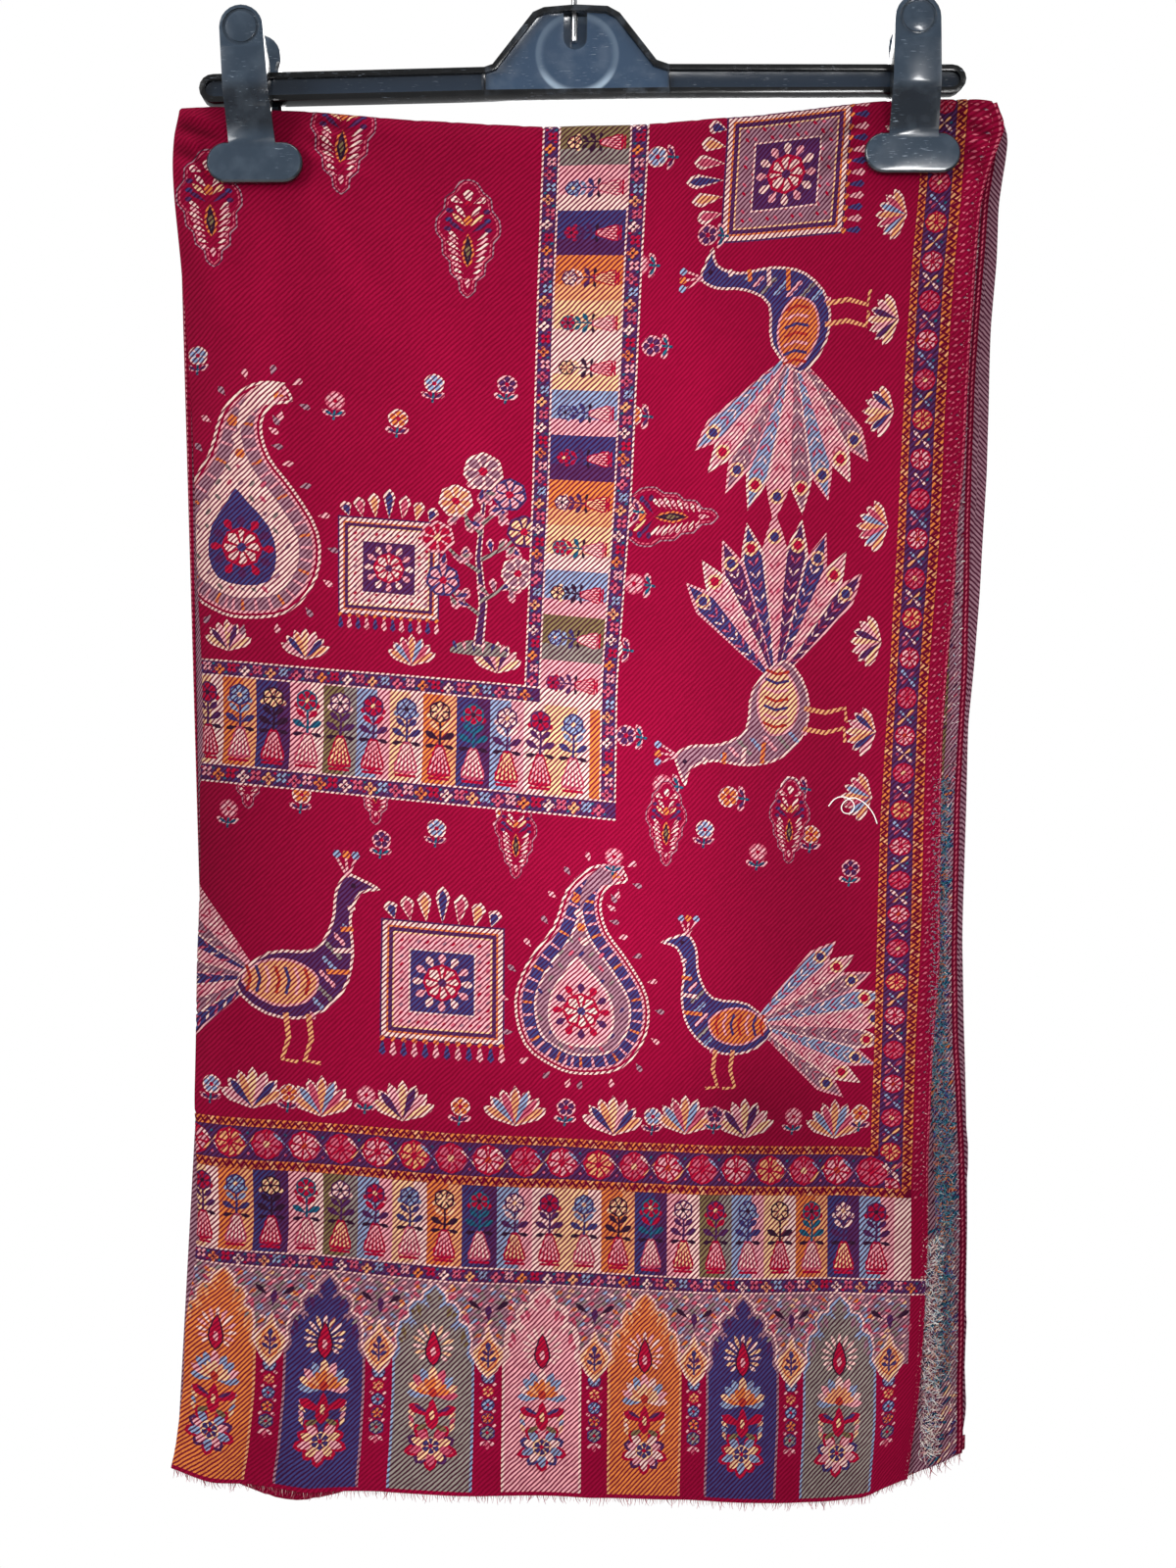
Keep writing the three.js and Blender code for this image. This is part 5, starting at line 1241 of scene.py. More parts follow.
def woven_sheet(name, pattern, u0, v0, u1, v1, place, mesh_step, edge_step, back_dye, roll=(), bend=BEND_LINES,
                fine=()):
    """Cuts the flat pattern into triangles, hangs them, and closes the cloth with its
    wrong side and its four edges. Each face keeps its dye and its flat place."""
    across, up = int((u1 - u0) / edge_step), int((v1 - v0) / edge_step)
    us, vs = np.linspace(u0, u1, across + 1), np.linspace(v0, v1, up + 1)
    if u0 < 0:
        us = np.array(sorted([u for u in us if abs(u - u0) < 0.01 or u > FOLD_RADIUS + 1] + list(bend)))
    vs = np.array(sorted([v for v in vs if min([abs(v - r) for r in roll] + [9]) > 1.5] + list(roll)[1:-1]))
    rim = ([(u, v0) for u in us[:-1]] + [(u1, v) for v in vs[:-1]]
           + [(u, v1) for u in us[:0:-1]] + [(u0, v) for v in vs[:0:-1]])
    points, faces = list(rim), [list(range(len(rim)))]
    dyes = ["crimson"]
    for outline, dye in pattern:
        if not fits(outline, u0, v0, u1, v1):
            continue
        area = sum(a[0] * b[1] - b[0] * a[1] for a, b in zip(outline, outline[1:] + outline[:1]))
        ring = finely(outline if area > 0 else outline[::-1])
        faces.append(list(range(len(points), len(points) + len(ring))))
        points += ring
        dyes.append(dye)
    rings = [np.array([points[i] for i in face]) for face in faces]
    cut = delaunay_2d_cdt([Vector((u, v)) for u, v in points], [], faces, 0, 0.02)
    flat = np.array([(p.x, p.y) for p in cut[0]])
    outer = np.array([t for t, owners in zip(cut[2], cut[5]) if 0 in owners])
    beside = {}
    for t, k in zip(outer.tolist(), top_outline(flat[outer].mean(axis=1), rings)):
        for i in range(3):
            beside.setdefault(tuple(sorted((t[i], t[(i + 1) % 3]))), []).append(dyes[k])
    seams = [edge for edge, sides in beside.items() if len(sides) == 1 or sides[0] != sides[1]]
    number = {i: n for n, i in enumerate(sorted({i for edge in seams for i in edge}))}
    points = [tuple(flat[i]) for i in number]
    seams = [(number[a], number[b]) for a, b in seams]
    cols, rows = int((u1 - u0) / mesh_step), int((v1 - v0) / mesh_step)
    points += [(u0 + (u1 - u0) * (i + 0.5 * (j % 2)) / cols, v0 + (v1 - v0) * j / rows)
               for j in range(1, rows) for i in range(1, cols)]
    if u0 < 0:
        points += [(u, v) for u in bend for v in np.arange(v0 + 2, v1 - 1, 3.0)]
    points += [(u, v) for v in roll for u in np.arange(u0 + 2, u1 - 1, 5.0) if v0 < v < v1]
    for low_u, low_v, high_u, high_v, step in fine:
        points += [(u, v) for u in np.arange(low_u, high_u, step) for v in np.arange(low_v, high_v, step)]
    cut = delaunay_2d_cdt([Vector((u, v)) for u, v in points], seams, [], 0, 0.005)
    flat = np.array([(p.x, p.y) for p in cut[0]])
    outer = np.array(cut[2])
    owner = top_outline(flat[outer].mean(axis=1), rings)
    a, b, c = (flat[outer[:, k]] for k in range(3))
    size = (b[:, 0] - a[:, 0]) * (c[:, 1] - a[:, 1]) - (b[:, 1] - a[:, 1]) * (c[:, 0] - a[:, 0])
    outer, owner = outer[np.abs(size) > 1e-6], owner[np.abs(size) > 1e-6]
    edges = {}
    for t in outer:
        for k in range(3):
            edges.setdefault(tuple(sorted((t[k], t[(k + 1) % 3]))), []).append((t[k], t[(k + 1) % 3]))
    following = {pair[0][0]: pair[0][1] for pair in edges.values() if len(pair) == 1}
    loop = [next(iter(following))]
    while following[loop[-1]] != loop[0]:
        loop.append(following[loop[-1]])
    step = mesh_step * BACK_COARSER
    cols, rows = int((u1 - u0) / step), int((v1 - v0) / step)
    back_points = [tuple(flat[i]) for i in loop]
    back_points += [(u0 + (u1 - u0) * i / cols, v0 + (v1 - v0) * j / rows)
                    for j in range(1, rows) for i in range(1, cols)]
    back = delaunay_2d_cdt([Vector(p) for p in back_points], [], [list(range(len(loop)))], 1, 0.001)
    back_flat = np.array([(p.x, p.y) for p in back[0]])
    same = {origin: i for i, origins in enumerate(back[3]) for origin in origins}
    inner = np.array(back[2]) + len(flat)
    rim_faces = []
    for i in range(len(loop)):
        j = (i + 1) % len(loop)
        rim_faces.append((loop[j], loop[i], same[i] + len(flat), same[j] + len(flat)))
    top = place(flat[:, 0], flat[:, 1], np.zeros(len(flat)))
    under = place(back_flat[:, 0], back_flat[:, 1], np.full(len(back_flat), WALL))
    corners = [tuple(t) for t in outer] + [tuple(t[::-1]) for t in inner] + rim_faces
    mesh = bpy.data.meshes.new(name)
    mesh.from_pydata((np.concatenate([top, under]) * MM).tolist(), [], corners)
    kinds = np.concatenate([owner, np.full(len(inner), -1), np.full(len(rim_faces), -2)])
    names = [dyes[k] if k >= 0 else (back_dye if k == -1 else "crimson") for k in kinds]
    counts = np.array([len(c) for c in corners])
    dye_faces(mesh, names, counts)
    order = np.array([i for corner in corners for i in corner])
    places = np.concatenate([top, under])
    # The tone attribute carries the painted light and shade into the colour of each face.
    tone = mesh.attributes.new("tone", "FLOAT", "CORNER")
    tone.data.foreach_set("value", nap_tone(places[order, 0], places[order, 2]))
    both = np.concatenate([flat, back_flat + np.array([u1 - u0 + 12, 0])])
    chart = mesh.uv_layers.new(name="flat_cloth")
    chart.data.foreach_set("uv", ((both[order] - np.array([u0, v0]) + 2) / CHART).ravel())
    mesh.polygons.foreach_set("use_smooth", [True] * len(corners))
    mesh.set_sharp_from_angle(angle=radians(50))
    mesh.validate()
    return placed(name, mesh)


CHART = 780.0
twill, into, out = shader_group(
    "kani_twill",
    [("Place", "NodeSocketVector", None), ("Float Dye", "NodeSocketColor", (0.3, 0, 0.03, 1)),
     ("Ground Dye", "NodeSocketColor", (0.08, 0.004, 0.02, 1)), ("Tone", "NodeSocketFloat", 1.0),
     ("Unevenness", "NodeSocketFloat", 0.35)],
    [("Colour", "NodeSocketColor"), ("Roughness", "NodeSocketFloat"), ("Height", "NodeSocketFloat")])
TWILL_PITCH = 1.74
TWILL_RISE = 47.0
FLOAT_LENGTH = 3.1


def measured_along(tree, vector, turn, pitch):
    """How many pitches along a direction of the flat cloth a point lies."""
    node = tree.nodes.new("ShaderNodeVectorMath")
    node.operation = "DOT_PRODUCT"
    tree.links.new(vector, node.inputs[0])
    node.inputs[1].default_value = (cos(radians(turn)) / pitch, sin(radians(turn)) / pitch, 0)
    return node.outputs["Value"]


place_in = into.outputs["Place"]
across_line = measured_along(twill, place_in, TWILL_RISE + 90, TWILL_PITCH)
wander = calc(twill, "MULTIPLY", noise_at(twill, place_in, 0.12, 2), 0.7)
line_count = calc(twill, "ADD", across_line, wander)
phase = calc(twill, "ABSOLUTE", calc(twill, "SUBTRACT", calc(twill, "FRACT", line_count), 0.5))
float_mask = falls(twill, phase, 0.21, 0.33)
line_number = calc(twill, "FLOOR", line_count)
on_line = calc(twill, "ADD", measured_along(twill, place_in, TWILL_RISE, FLOAT_LENGTH),
               calc(twill, "MULTIPLY", line_number, 0.37))
cell = twill.nodes.new("ShaderNodeCombineXYZ")
twill.links.new(line_number, cell.inputs[0])
twill.links.new(calc(twill, "FLOOR", on_line), cell.inputs[1])
chance = twill.nodes.new("ShaderNodeTexWhiteNoise")
chance.noise_dimensions = "2D"
twill.links.new(cell.outputs[0], chance.inputs["Vector"])
bead = calc(twill, "ABSOLUTE", calc(twill, "SUBTRACT", calc(twill, "FRACT", on_line), 0.5))
uneven = noise_at(twill, place_in, 0.9, 3)
broad = noise_at(twill, place_in, 0.02, 3)
worn = calc(twill, "MULTIPLY", calc(twill, "SUBTRACT", chance.outputs["Value"], 0.35), into.outputs["Unevenness"])
shown = calc(twill, "SUBTRACT", float_mask, calc(twill, "MAXIMUM", worn, 0.0))
shown.node.use_clamp = True
woven = blend_colour(twill, shown, into.outputs["Ground Dye"], into.outputs["Float Dye"])
# Tone scales the colour's brightness; from the sheets it brings painted light and shade.
tone = twill.nodes.new("ShaderNodeHueSaturation")
lift = calc(twill, "ADD", calc(twill, "MULTIPLY", broad, 0.16), calc(twill, "MULTIPLY", uneven, 0.28))
twill.links.new(calc(twill, "MULTIPLY", calc(twill, "ADD", 0.78, lift), into.outputs["Tone"]), tone.inputs["Value"])
twill.links.new(woven, tone.inputs["Color"])
twill.links.new(tone.outputs[0], out.inputs["Colour"])
twill.links.new(calc(twill, "SUBTRACT", 0.88, calc(twill, "MULTIPLY", float_mask, 0.16)), out.inputs["Roughness"])
height = calc(twill, "SUBTRACT", calc(twill, "ADD", float_mask, calc(twill, "MULTIPLY", uneven, 0.4)),
              calc(twill, "MULTIPLY", bead, 0.5))
twill.links.new(height, out.inputs["Height"])


def twill_cloth(name, sheen=0.03, depth=0.00008, uneven=0.35):
    """Kani twill: each face's own dyes in floats over its ground, with a short soft nap."""
    material, tree, shader = nodes_of(name)
    flat = tree.nodes.new("ShaderNodeUVMap")
    flat.uv_map = "flat_cloth"
    scale = tree.nodes.new("ShaderNodeVectorMath")
    scale.operation = "SCALE"
    tree.links.new(flat.outputs[0], scale.inputs[0])
    scale.inputs["Scale"].default_value = CHART
    # The tone attribute brings in each sheet's painted light and shade.
    weave = place_group(tree, twill, Place=scale.outputs[0], Float_Dye=attribute(tree, "dye", "Color"),
                        Ground_Dye=attribute(tree, "ground", "Color"), Tone=attribute(tree, "tone"),
                        Unevenness=uneven)
    shader.inputs["Sheen Weight"].default_value = sheen
    shader.inputs["Sheen Roughness"].default_value = 0.35
    shader.inputs["Sheen Tint"].default_value = (1.0, 0.25, 0.4, 1)
    shader.inputs["Specular IOR Level"].default_value = 0.05
    surface(tree, shader, weave, depth)
    return material


face_cloth = twill_cloth("shawl_face_twill")
FRONT_MESH = 7.4
EDGE_MESH = 4.0
# Closer points where the cloth gathers by the clips: a flat box, then the step in it.
GATHERED = [(3, 606, 60, 652, 1.8), (60, 620, 96, 652, 2.4), (290, 600, 353, 652, 2.1)]
front = woven_sheet("shawl_front", front_pattern, FIRST_U, 0.0, FRONT_WIDTH, TOP_LINE + ROLL_LENGTH + RETURN,
                    front_place, FRONT_MESH, EDGE_MESH, "mauve",
                    [TOP_LINE + ROLL_LENGTH * k / 6 for k in range(7)], fine=GATHERED)
front.data.materials.append(face_cloth)
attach(front, "root")
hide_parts("front_panel")


# The back of the shawl: the middle third, face out, running down from the top fold to
# the lower fold, where it turns under its own layers. Side border, band of figures and
# plain field go on behind as they do in front.
REAR_WIDTH = 368.0
REAR_START = TOP_LINE + ROLL_LENGTH + RETURN
REAR_END = REAR_START + 648.0
LOW_ROLL = 13.0
LOW_RETURN = 4.0
SHIFT = REAR_WIDTH - FRONT_WIDTH
BOTTOM_FOLD = [(-196.0, -759.5), (-178.0, -763.0), (-160.0, -768.6), (-148.0, -773.8), (-134.0, -776.4),
               (-122.0, -774.4), (-105.0, -770.0), (-14.0, -771.6), (52.0, -772.6), (122.0, -774.4),
               (142.0, -770.6), (158.8, -763.6), (175.0, -757.4), (188.0, -751.0)]
REAR_CREASES = [
    ((-186, -130), (-150, -230), 8.0, 0.8), ((-128, -116), (-40, -150), 7.0, 0.8),
    ((134, -112), (60, -150), 7.0, 0.8), ((184, -136), (170, -260), 7.0, 0.8),
    ((-60, -200), (-20, -520), 16.0, 0.9), ((70, -180), (40, -560), 18.0, 0.9),
    ((-130, -420), (-140, -760), 12.0, 1.0), ((120, -400), (140, -750), 12.0, 1.0),
    ((0, -560), (10, -765), 12.0, 0.8), ((-90, -620), (-94, -765), 8.0, 0.8),
    ((90, -640), (84, -768), 8.0, 0.8),
]


def hidden_front(x, z):
    return 2 * (WALL + layer_gap(x, z))


def rear_place(u, v, deep):
    """Where a point of the rear third hangs, deep below its face."""
    share = np.clip((v - REAR_START) / (REAR_END - REAR_START), 0, 1)
    level = -112 - share * 650
    left, right = along(LEFT_FOLD, level), along(REAR_SELVEDGE, level)
    x = (left + FOLD_RADIUS
         + (right - left - FOLD_RADIUS) * np.maximum(u - FOLD_RADIUS, 0) / (REAR_WIDTH - FOLD_RADIUS))
    radius = WALL + layer_gap(x, level) / 2
    x, down = bent_left(u, deep, x + np.where(u < FOLD_RADIUS, radius - FOLD_RADIUS, 0), radius)
    top = along(TOP_FOLD, x)
    start = top - stack_half(x, top) - RETURN
    low = along(BOTTOM_FOLD, x)
    size = stack_half(x, low) - hidden_front(x, low) / 2
    z = start + share * (low + size - start)
    rise = (creased(x, z, REAR_CREASES) * (deep < WALL / 2) * eased(u, FIRST_U, 14)
            * (1 - eased(share, 0.9, 1.0)) * eased(share, 0.0, 0.05))
    y = stack_middle(x, z) + stack_half(x, z) - down + rise
    angle = pi * np.clip((v - REAR_END) / LOW_ROLL, 0, 1)
    axis = stack_middle(x, low + size) + stack_half(x, low + size) - size
    after = np.maximum(v - REAR_END - LOW_ROLL, 0)
    under = v > REAR_END
    y = np.where(under, axis + (size - down) * np.cos(angle), y)
    z = np.where(under, low + size - (size - down) * np.sin(angle) + after, z)
    return np.stack([x, y, z], 1)


rear_pattern = border(REAR_START - 2, REAR_END + 20, BORDER_U + SHIFT, False)
rear_pattern += block_band(BLOCKS_U + SHIFT, REAR_START - 14, BLOCKS_END + SHIFT, REAR_END + 20, 21.2, 1, True)
rear_pattern += flower_guard(BLOCKS_END + SHIFT, REAR_START - 6, FIELD_FRAME_U + SHIFT, REAR_END + 20, True)
rear_pattern += flower_guard(FRAME_U + SHIFT, REAR_START - 6, BLOCKS_U + SHIFT, REAR_END + 20, True)
for row in range(7):
    for column in range(2):
        rear_pattern += moved(buti(), 34 + 76 * column + 38 * (row % 2), REAR_START + 70 + 96 * row, 1, 180)
for k, figure in enumerate((paisley(1), peacock(1), flower_tree(2), paisley(2), peacock(2), flower_tree(0),
                            paisley(3))):
    rear_pattern += moved(figure, 312 + SHIFT, REAR_START + 52 + 96 * k, 1.15, -90)
for k in range(26):
    rear_pattern += moved(field_sprig(k), 226 + 92 * (k % 2) + SHIFT, REAR_START + 18 + 25 * k, 1.1, -90)
rear = woven_sheet("shawl_rear", rear_pattern, FIRST_U, REAR_START, REAR_WIDTH, REAR_END + LOW_ROLL + LOW_RETURN,
                   rear_place, 7.0, EDGE_MESH, "mauve", [REAR_END + LOW_ROLL * k / 6 for k in range(7)])
rear.data.materials.append(face_cloth)
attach(rear, "root")
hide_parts("back_panel")

# The half of the front third that is folded back: only its wrong side shows, past the
# front selvedge, grey-mauve and rough with the trimmed ends of the coloured shuttles.
UNDER_HEM = [(-190.0, -757.5), (-100.0, -764.5), (100.0, -770.5), (140.0, -766.5), (158.0, -760.6),
             (172.0, -757.0), (184.0, -750.8)]
UNDER_WIDTH = 362.0
PAST_BEND = 3.6


def under_place(u, v, deep):
    share = np.clip(v / TOP_LINE, 0, 1)
    level = -755 + share * 646
    left, right = along(LEFT_FOLD, level) + PAST_BEND, along(UNDER_SELVEDGE, level, 3)
    x = left + (right - left) * u / UNDER_WIDTH
    top = along(TOP_FOLD, x)
    foot = along(UNDER_HEM, x)
    z = foot + share * (top - stack_half(x, top) - 1.4 - foot)
    flutter = (0.5 * np.sin(z / 23.0 + 0.6 * np.sin(z / 9.0))
               * eased(u, UNDER_WIDTH - 14, UNDER_WIDTH) * (1 - pinched(x, z)))
    y = stack_middle(x, z) - stack_half(x, z) + WALL + layer_gap(x, z) + deep - 0.3 * eased(u, 320, 340) + flutter
    return np.stack([x, y, z], 1)


rough = np.random.default_rng(7)
wrong_side = [(box(300, -2, 364, 670), "mauve"), (box(350, 330, 353, 670), "olive")]
for i in range(700):
    u, v = rough.uniform(345, 359), rough.uniform(0, 652)
    dye = rough.choice(["pale", "grey", "rose", "deep", "pale", "dark", "purple", "mauve", "dark"])
    wrong_side.append((petal(u, v, rough.uniform(1.6, 4.4), 0.9, rough.uniform(30, 64)), str(dye)))
for i in range(680):
    v = rough.uniform(0, 330)
    low = v < 116
    dye = rough.choice(["cream", "pale", "teal", "pale", "teal", "blue"] if low
                       else ["teal", "teal", "teal", "blue", "blue", "orange"])
    wrong_side.append((petal(rough.uniform(342 if low else 346, 355.5), v, rough.uniform(2, 6), 1.4,
                             rough.uniform(30, 120)), str(dye)))
wrong_side += [(box(359.0, -2, 364, 670), "deep"), (box(360.2, -2, 360.9, 670), "rose")]
under = woven_sheet("shawl_under", wrong_side, 0.0, 0.0, UNDER_WIDTH, TOP_LINE, under_place, 12.0, EDGE_MESH,
                    "crimson")
wrong_cloth = twill_cloth("shawl_reverse_twill", 0.08, 0.0002, 0.5)
under.data.materials.append(wrong_cloth)
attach(under, "root")
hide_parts("under_panel")

# The hidden layers: the other end third, folded in half inside, and the half of the
# middle third that is folded in. Their folds and raw edges show at the two sides.
LEAF_SHARES = [(0.0, 0.27), (0.38, 0.62), (0.73, 1.0)]
LEAF_BACK = [0.2, 2.2, 0.9]
INNER_LEFT = 1.8


def inner_point(x, share, z):
    front = hidden_front(x, z)
    back = 2 * stack_half(x, z) - WALL - layer_gap(x, z)
    return stack_middle(x, z) - stack_half(x, z) + front + (back - front) * share


def stacked_rings(name, sections, levels, dye):
    """A closed layer through rings of (across, depth share); each ring is the outer
    path of the layer and then its inner path backwards."""
    count = len(sections[0])
    points, chart = [], []
    for section, level in zip(sections, levels):
        run = 0.0
        for i, (x, share, z) in enumerate(section):
            if i:
                run += abs(x - section[i - 1][0])
            points.append((x * MM, float(inner_point(x, share, z)) * MM, z * MM))
            chart.append(((run % 760) / CHART + 0.01, (level - levels[-1]) / CHART + 0.01))
    faces = []
    for k in range(len(sections) - 1):
        for i in range(count):
            a, b = k * count + i, k * count + (i + 1) % count
            faces.append((a, a + count, b + count, b))
    for i in range(count // 2 - 1):
        patch = (i, i + 1, count - 2 - i, count - 1 - i)
        faces.append(patch)
        faces.append(tuple(j + (len(sections) - 1) * count for j in patch[::-1]))
    mesh = bpy.data.meshes.new(name)
    mesh.from_pydata(points, [], faces)
    volume = sum(p.area * p.center.dot(p.normal) for p in mesh.polygons)
    if volume < 0:
        mesh.flip_normals()
    uv = mesh.uv_layers.new(name="flat_cloth")
    order = np.zeros(len(mesh.loops), int)
    mesh.loops.foreach_get("vertex_index", order)
    uv.data.foreach_set("uv", np.array(chart)[order].ravel())
    dye_faces(mesh, [dye], [len(mesh.loops)])
    tone = mesh.attributes.new("tone", "FLOAT", "CORNER")
    tone.data.foreach_set("value", np.full(len(mesh.loops), 0.9))
    mesh.polygons.foreach_set("use_smooth", [True] * len(mesh.polygons))
    mesh.set_sharp_from_angle(angle=radians(50))
    mesh.materials.append(wrong_cloth)
    piece = placed(name, mesh)
    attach(piece, "root")
    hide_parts("inner_layers")
    return piece


def leaf_right(level, leaf):
    wave = 0.7 * sin(level / 17.0 + 2.1 * leaf) + 0.5 * sin(level / 6.3 + leaf)
    return float(along(INNER_SELVEDGE, level, 4)) - LEAF_BACK[leaf] + wave * (1 - float(pinched(170.0, level)))


def inner_bottom(x):
    low = float(along(BOTTOM_FOLD, x))
    return low + float(stack_half(x, low) - hidden_front(x, low) / 2) + 5.0


def inner_top(x):
    top = float(along(TOP_FOLD, x))
    return top - float(stack_half(x, top)) - 0.6


LEVELS = [-116 - 642 * (k / 60) for k in range(61)]


def ring_at(level, outer, inner):
    """Puts a section at a level, eased to follow the folds at the two ends."""
    t = (level - LEVELS[0]) / (LEVELS[-1] - LEVELS[0])
    ring = []
    for x, share in outer + inner[::-1]:
        ring.append((x, share, inner_top(x) + (inner_bottom(x) - inner_top(x)) * t))
    return ring


pair_rings, leaf_rings = [], []
for level in LEVELS:
    left = float(along(LEFT_FOLD, level)) + INNER_LEFT
    (a0, a1), (b0, b1), (c0, c1) = LEAF_SHARES
    spread = np.linspace(0, 1, 16)
    run_out = [leaf_right(level, 0) + (left + 4 - leaf_right(level, 0)) * t for t in spread]
    run_back = [left + 4 + (leaf_right(level, 1) - left - 4) * t for t in spread]
    turn = [pi * k / 6 for k in range(1, 6)]
    middle, reach = (a0 + b1) / 2, (b1 - a0) / 2
    slim = (b0 - a1) / 2
    outer = ([(x, a0) for x in run_out] + [(left + 4 - 4 * sin(a), middle - reach * cos(a)) for a in turn]
             + [(x, b1) for x in run_back])
    inner = ([(x, a1) for x in run_out] + [(left + 4 - 2.9 * sin(a), middle - slim * cos(a)) for a in turn]
             + [(x, b0) for x in run_back])
    pair_rings.append(ring_at(level, outer, inner))
    start = left + PAST_BEND
    run = [leaf_right(level, 2) + (start - leaf_right(level, 2)) * t for t in spread]
    leaf_rings.append(ring_at(level, [(x, c0) for x in run], [(x, c1) for x in run]))
pair = stacked_rings("shawl_inner_pair", pair_rings, LEVELS, "mauve")
leaf = stacked_rings("shawl_inner_leaf", leaf_rings, LEVELS, "mauve")

# The fringe: the cut warp ends left standing below the front hem, a few millimetres of
# loose crimson threads with paler tips, each a little longer or shorter than the next.
THREAD_TIP = 0.00008
THREAD_CURL = 0.35
THREAD_SIZES = (0.45, 1.15)


def thread_tree(name, rings):
    """Threads set along a path: each a thin tapering stalk, turned and sized at random."""
    tree = bpy.data.node_groups.new(name, "GeometryNodeTree")
    face = tree.interface
    face.new_socket(name="Geometry", in_out="INPUT", socket_type="NodeSocketGeometry")
    for label, kind, value in (("Spacing", "NodeSocketFloat", 0.001), ("Length", "NodeSocketFloat", 0.004),
                               ("Thickness", "NodeSocketFloat", 0.0003),
                               ("Lean", "NodeSocketVector", (0.3, 0.3, 0.5)),
                               ("Point", "NodeSocketVector", (pi, 0.0, 0.0)), ("Seed", "NodeSocketInt", 1),
                               ("Finish", "NodeSocketMaterial", None)):
        socket = face.new_socket(name=label, in_out="INPUT", socket_type=kind)
        if value is not None:
            socket.default_value = value
    face.new_socket(name="Geometry", in_out="OUTPUT", socket_type="NodeSocketGeometry")
    new = tree.nodes.new
    link = tree.links.new
    start, end = new("NodeGroupInput"), new("NodeGroupOutput")
    line = new("GeometryNodeMeshToCurve")
    link(start.outputs["Geometry"], line.inputs[0])
    evenly = new("GeometryNodeResampleCurve")
    evenly.mode = "LENGTH"
    link(line.outputs[0], evenly.inputs["Curve"])
    link(start.outputs["Spacing"], evenly.inputs["Length"])
    stalk = new("GeometryNodeMeshCone")
    stalk.inputs["Vertices"].default_value = 3
    stalk.inputs["Side Segments"].default_value = rings
    link(start.outputs["Thickness"], stalk.inputs["Radius Bottom"])
    stalk.inputs["Radius Top"].default_value = THREAD_TIP
    link(start.outputs["Length"], stalk.inputs["Depth"])
    spot = new("GeometryNodeInputPosition")
    parts = new("ShaderNodeSeparateXYZ")
    link(spot.outputs[0], parts.inputs[0])
    share = calc(tree, "DIVIDE", parts.outputs["Z"], start.outputs["Length"])
    tip = new("GeometryNodeStoreNamedAttribute")
    tip.data_type = "FLOAT"
    tip.domain = "POINT"
    tip.inputs["Name"].default_value = "tip"
    link(stalk.outputs["Mesh"], tip.inputs["Geometry"])
    link(share, tip.inputs["Value"])
    curl = calc(tree, "MULTIPLY", calc(tree, "POWER", share, 2.0), start.outputs["Length"])
    shift = new("ShaderNodeCombineXYZ")
    link(calc(tree, "MULTIPLY", curl, THREAD_CURL), shift.inputs["X"])
    curled = new("GeometryNodeSetPosition")
    link(tip.outputs[0], curled.inputs["Geometry"])
    link(shift.outputs[0], curled.inputs["Offset"])
    spin = new("FunctionNodeRandomValue")
    spin.data_type = "FLOAT_VECTOR"
    for operation, limit in (("SUBTRACT", "Min"), ("ADD", "Max")):
        reach = new("ShaderNodeVectorMath")
        reach.operation = operation
        link(start.outputs["Point"], reach.inputs[0])
        link(start.outputs["Lean"], reach.inputs[1])
        link(reach.outputs[0], spin.inputs[limit])
    link(start.outputs["Seed"], spin.inputs["Seed"])
    size = new("FunctionNodeRandomValue")
    size.data_type = "FLOAT"
    size.inputs[2].default_value, size.inputs[3].default_value = THREAD_SIZES
    link(start.outputs["Seed"], size.inputs["Seed"])
    plant = new("GeometryNodeInstanceOnPoints")
    link(evenly.outputs[0], plant.inputs["Points"])
    link(curled.outputs[0], plant.inputs["Instance"])
    turned = new("FunctionNodeEulerToRotation")
    link(spin.outputs[0], turned.inputs[0])
    link(turned.outputs[0], plant.inputs["Rotation"])
    link(size.outputs[1], plant.inputs["Scale"])
    tone = new("GeometryNodeStoreNamedAttribute")
    tone.data_type = "FLOAT"
    tone.domain = "INSTANCE"
    tone.inputs["Name"].default_value = "tone"
    any_tone = new("FunctionNodeRandomValue")
    any_tone.data_type = "FLOAT"
    link(calc(tree, "ADD", start.outputs["Seed"], 5), any_tone.inputs["Seed"])
    link(any_tone.outputs[1], tone.inputs["Value"])
    link(plant.outputs[0], tone.inputs["Geometry"])
    whole = new("GeometryNodeRealizeInstances")
    link(tone.outputs[0], whole.inputs[0])
    coat = new("GeometryNodeSetMaterial")
    link(whole.outputs[0], coat.inputs["Geometry"])
    link(start.outputs["Finish"], coat.inputs["Material"])
    link(coat.outputs[0], end.inputs[0])
    return tree


def set_threads(name, tree, runs, material, **sizes):
    """Makes the threads along the runs of points and turns them into a plain mesh."""
    mesh = bpy.data.meshes.new(name)
    points, edges = [], []
    for run in runs:
        edges += [(len(points) + i, len(points) + i + 1) for i in range(len(run) - 1)]
        points += [tuple(c * MM for c in p) for p in run]
    mesh.from_pydata(points, edges, [])
    piece = placed(name, mesh)
    maker = piece.modifiers.new("threads", "NODES")
    maker.node_group = tree
    names = {s.name: s.identifier for s in tree.interface.items_tree if s.in_out == "INPUT"}
    for label, value in sizes.items():
        maker[names[label]] = value
    maker[names["Finish"]] = material
    shape = bpy.data.meshes.new_from_object(piece.evaluated_get(bpy.context.evaluated_depsgraph_get()))
    piece.modifiers.clear()
    piece.data = shape
    shape.name = name
    shape.polygons.foreach_set("use_smooth", [True] * len(shape.polygons))
    return piece


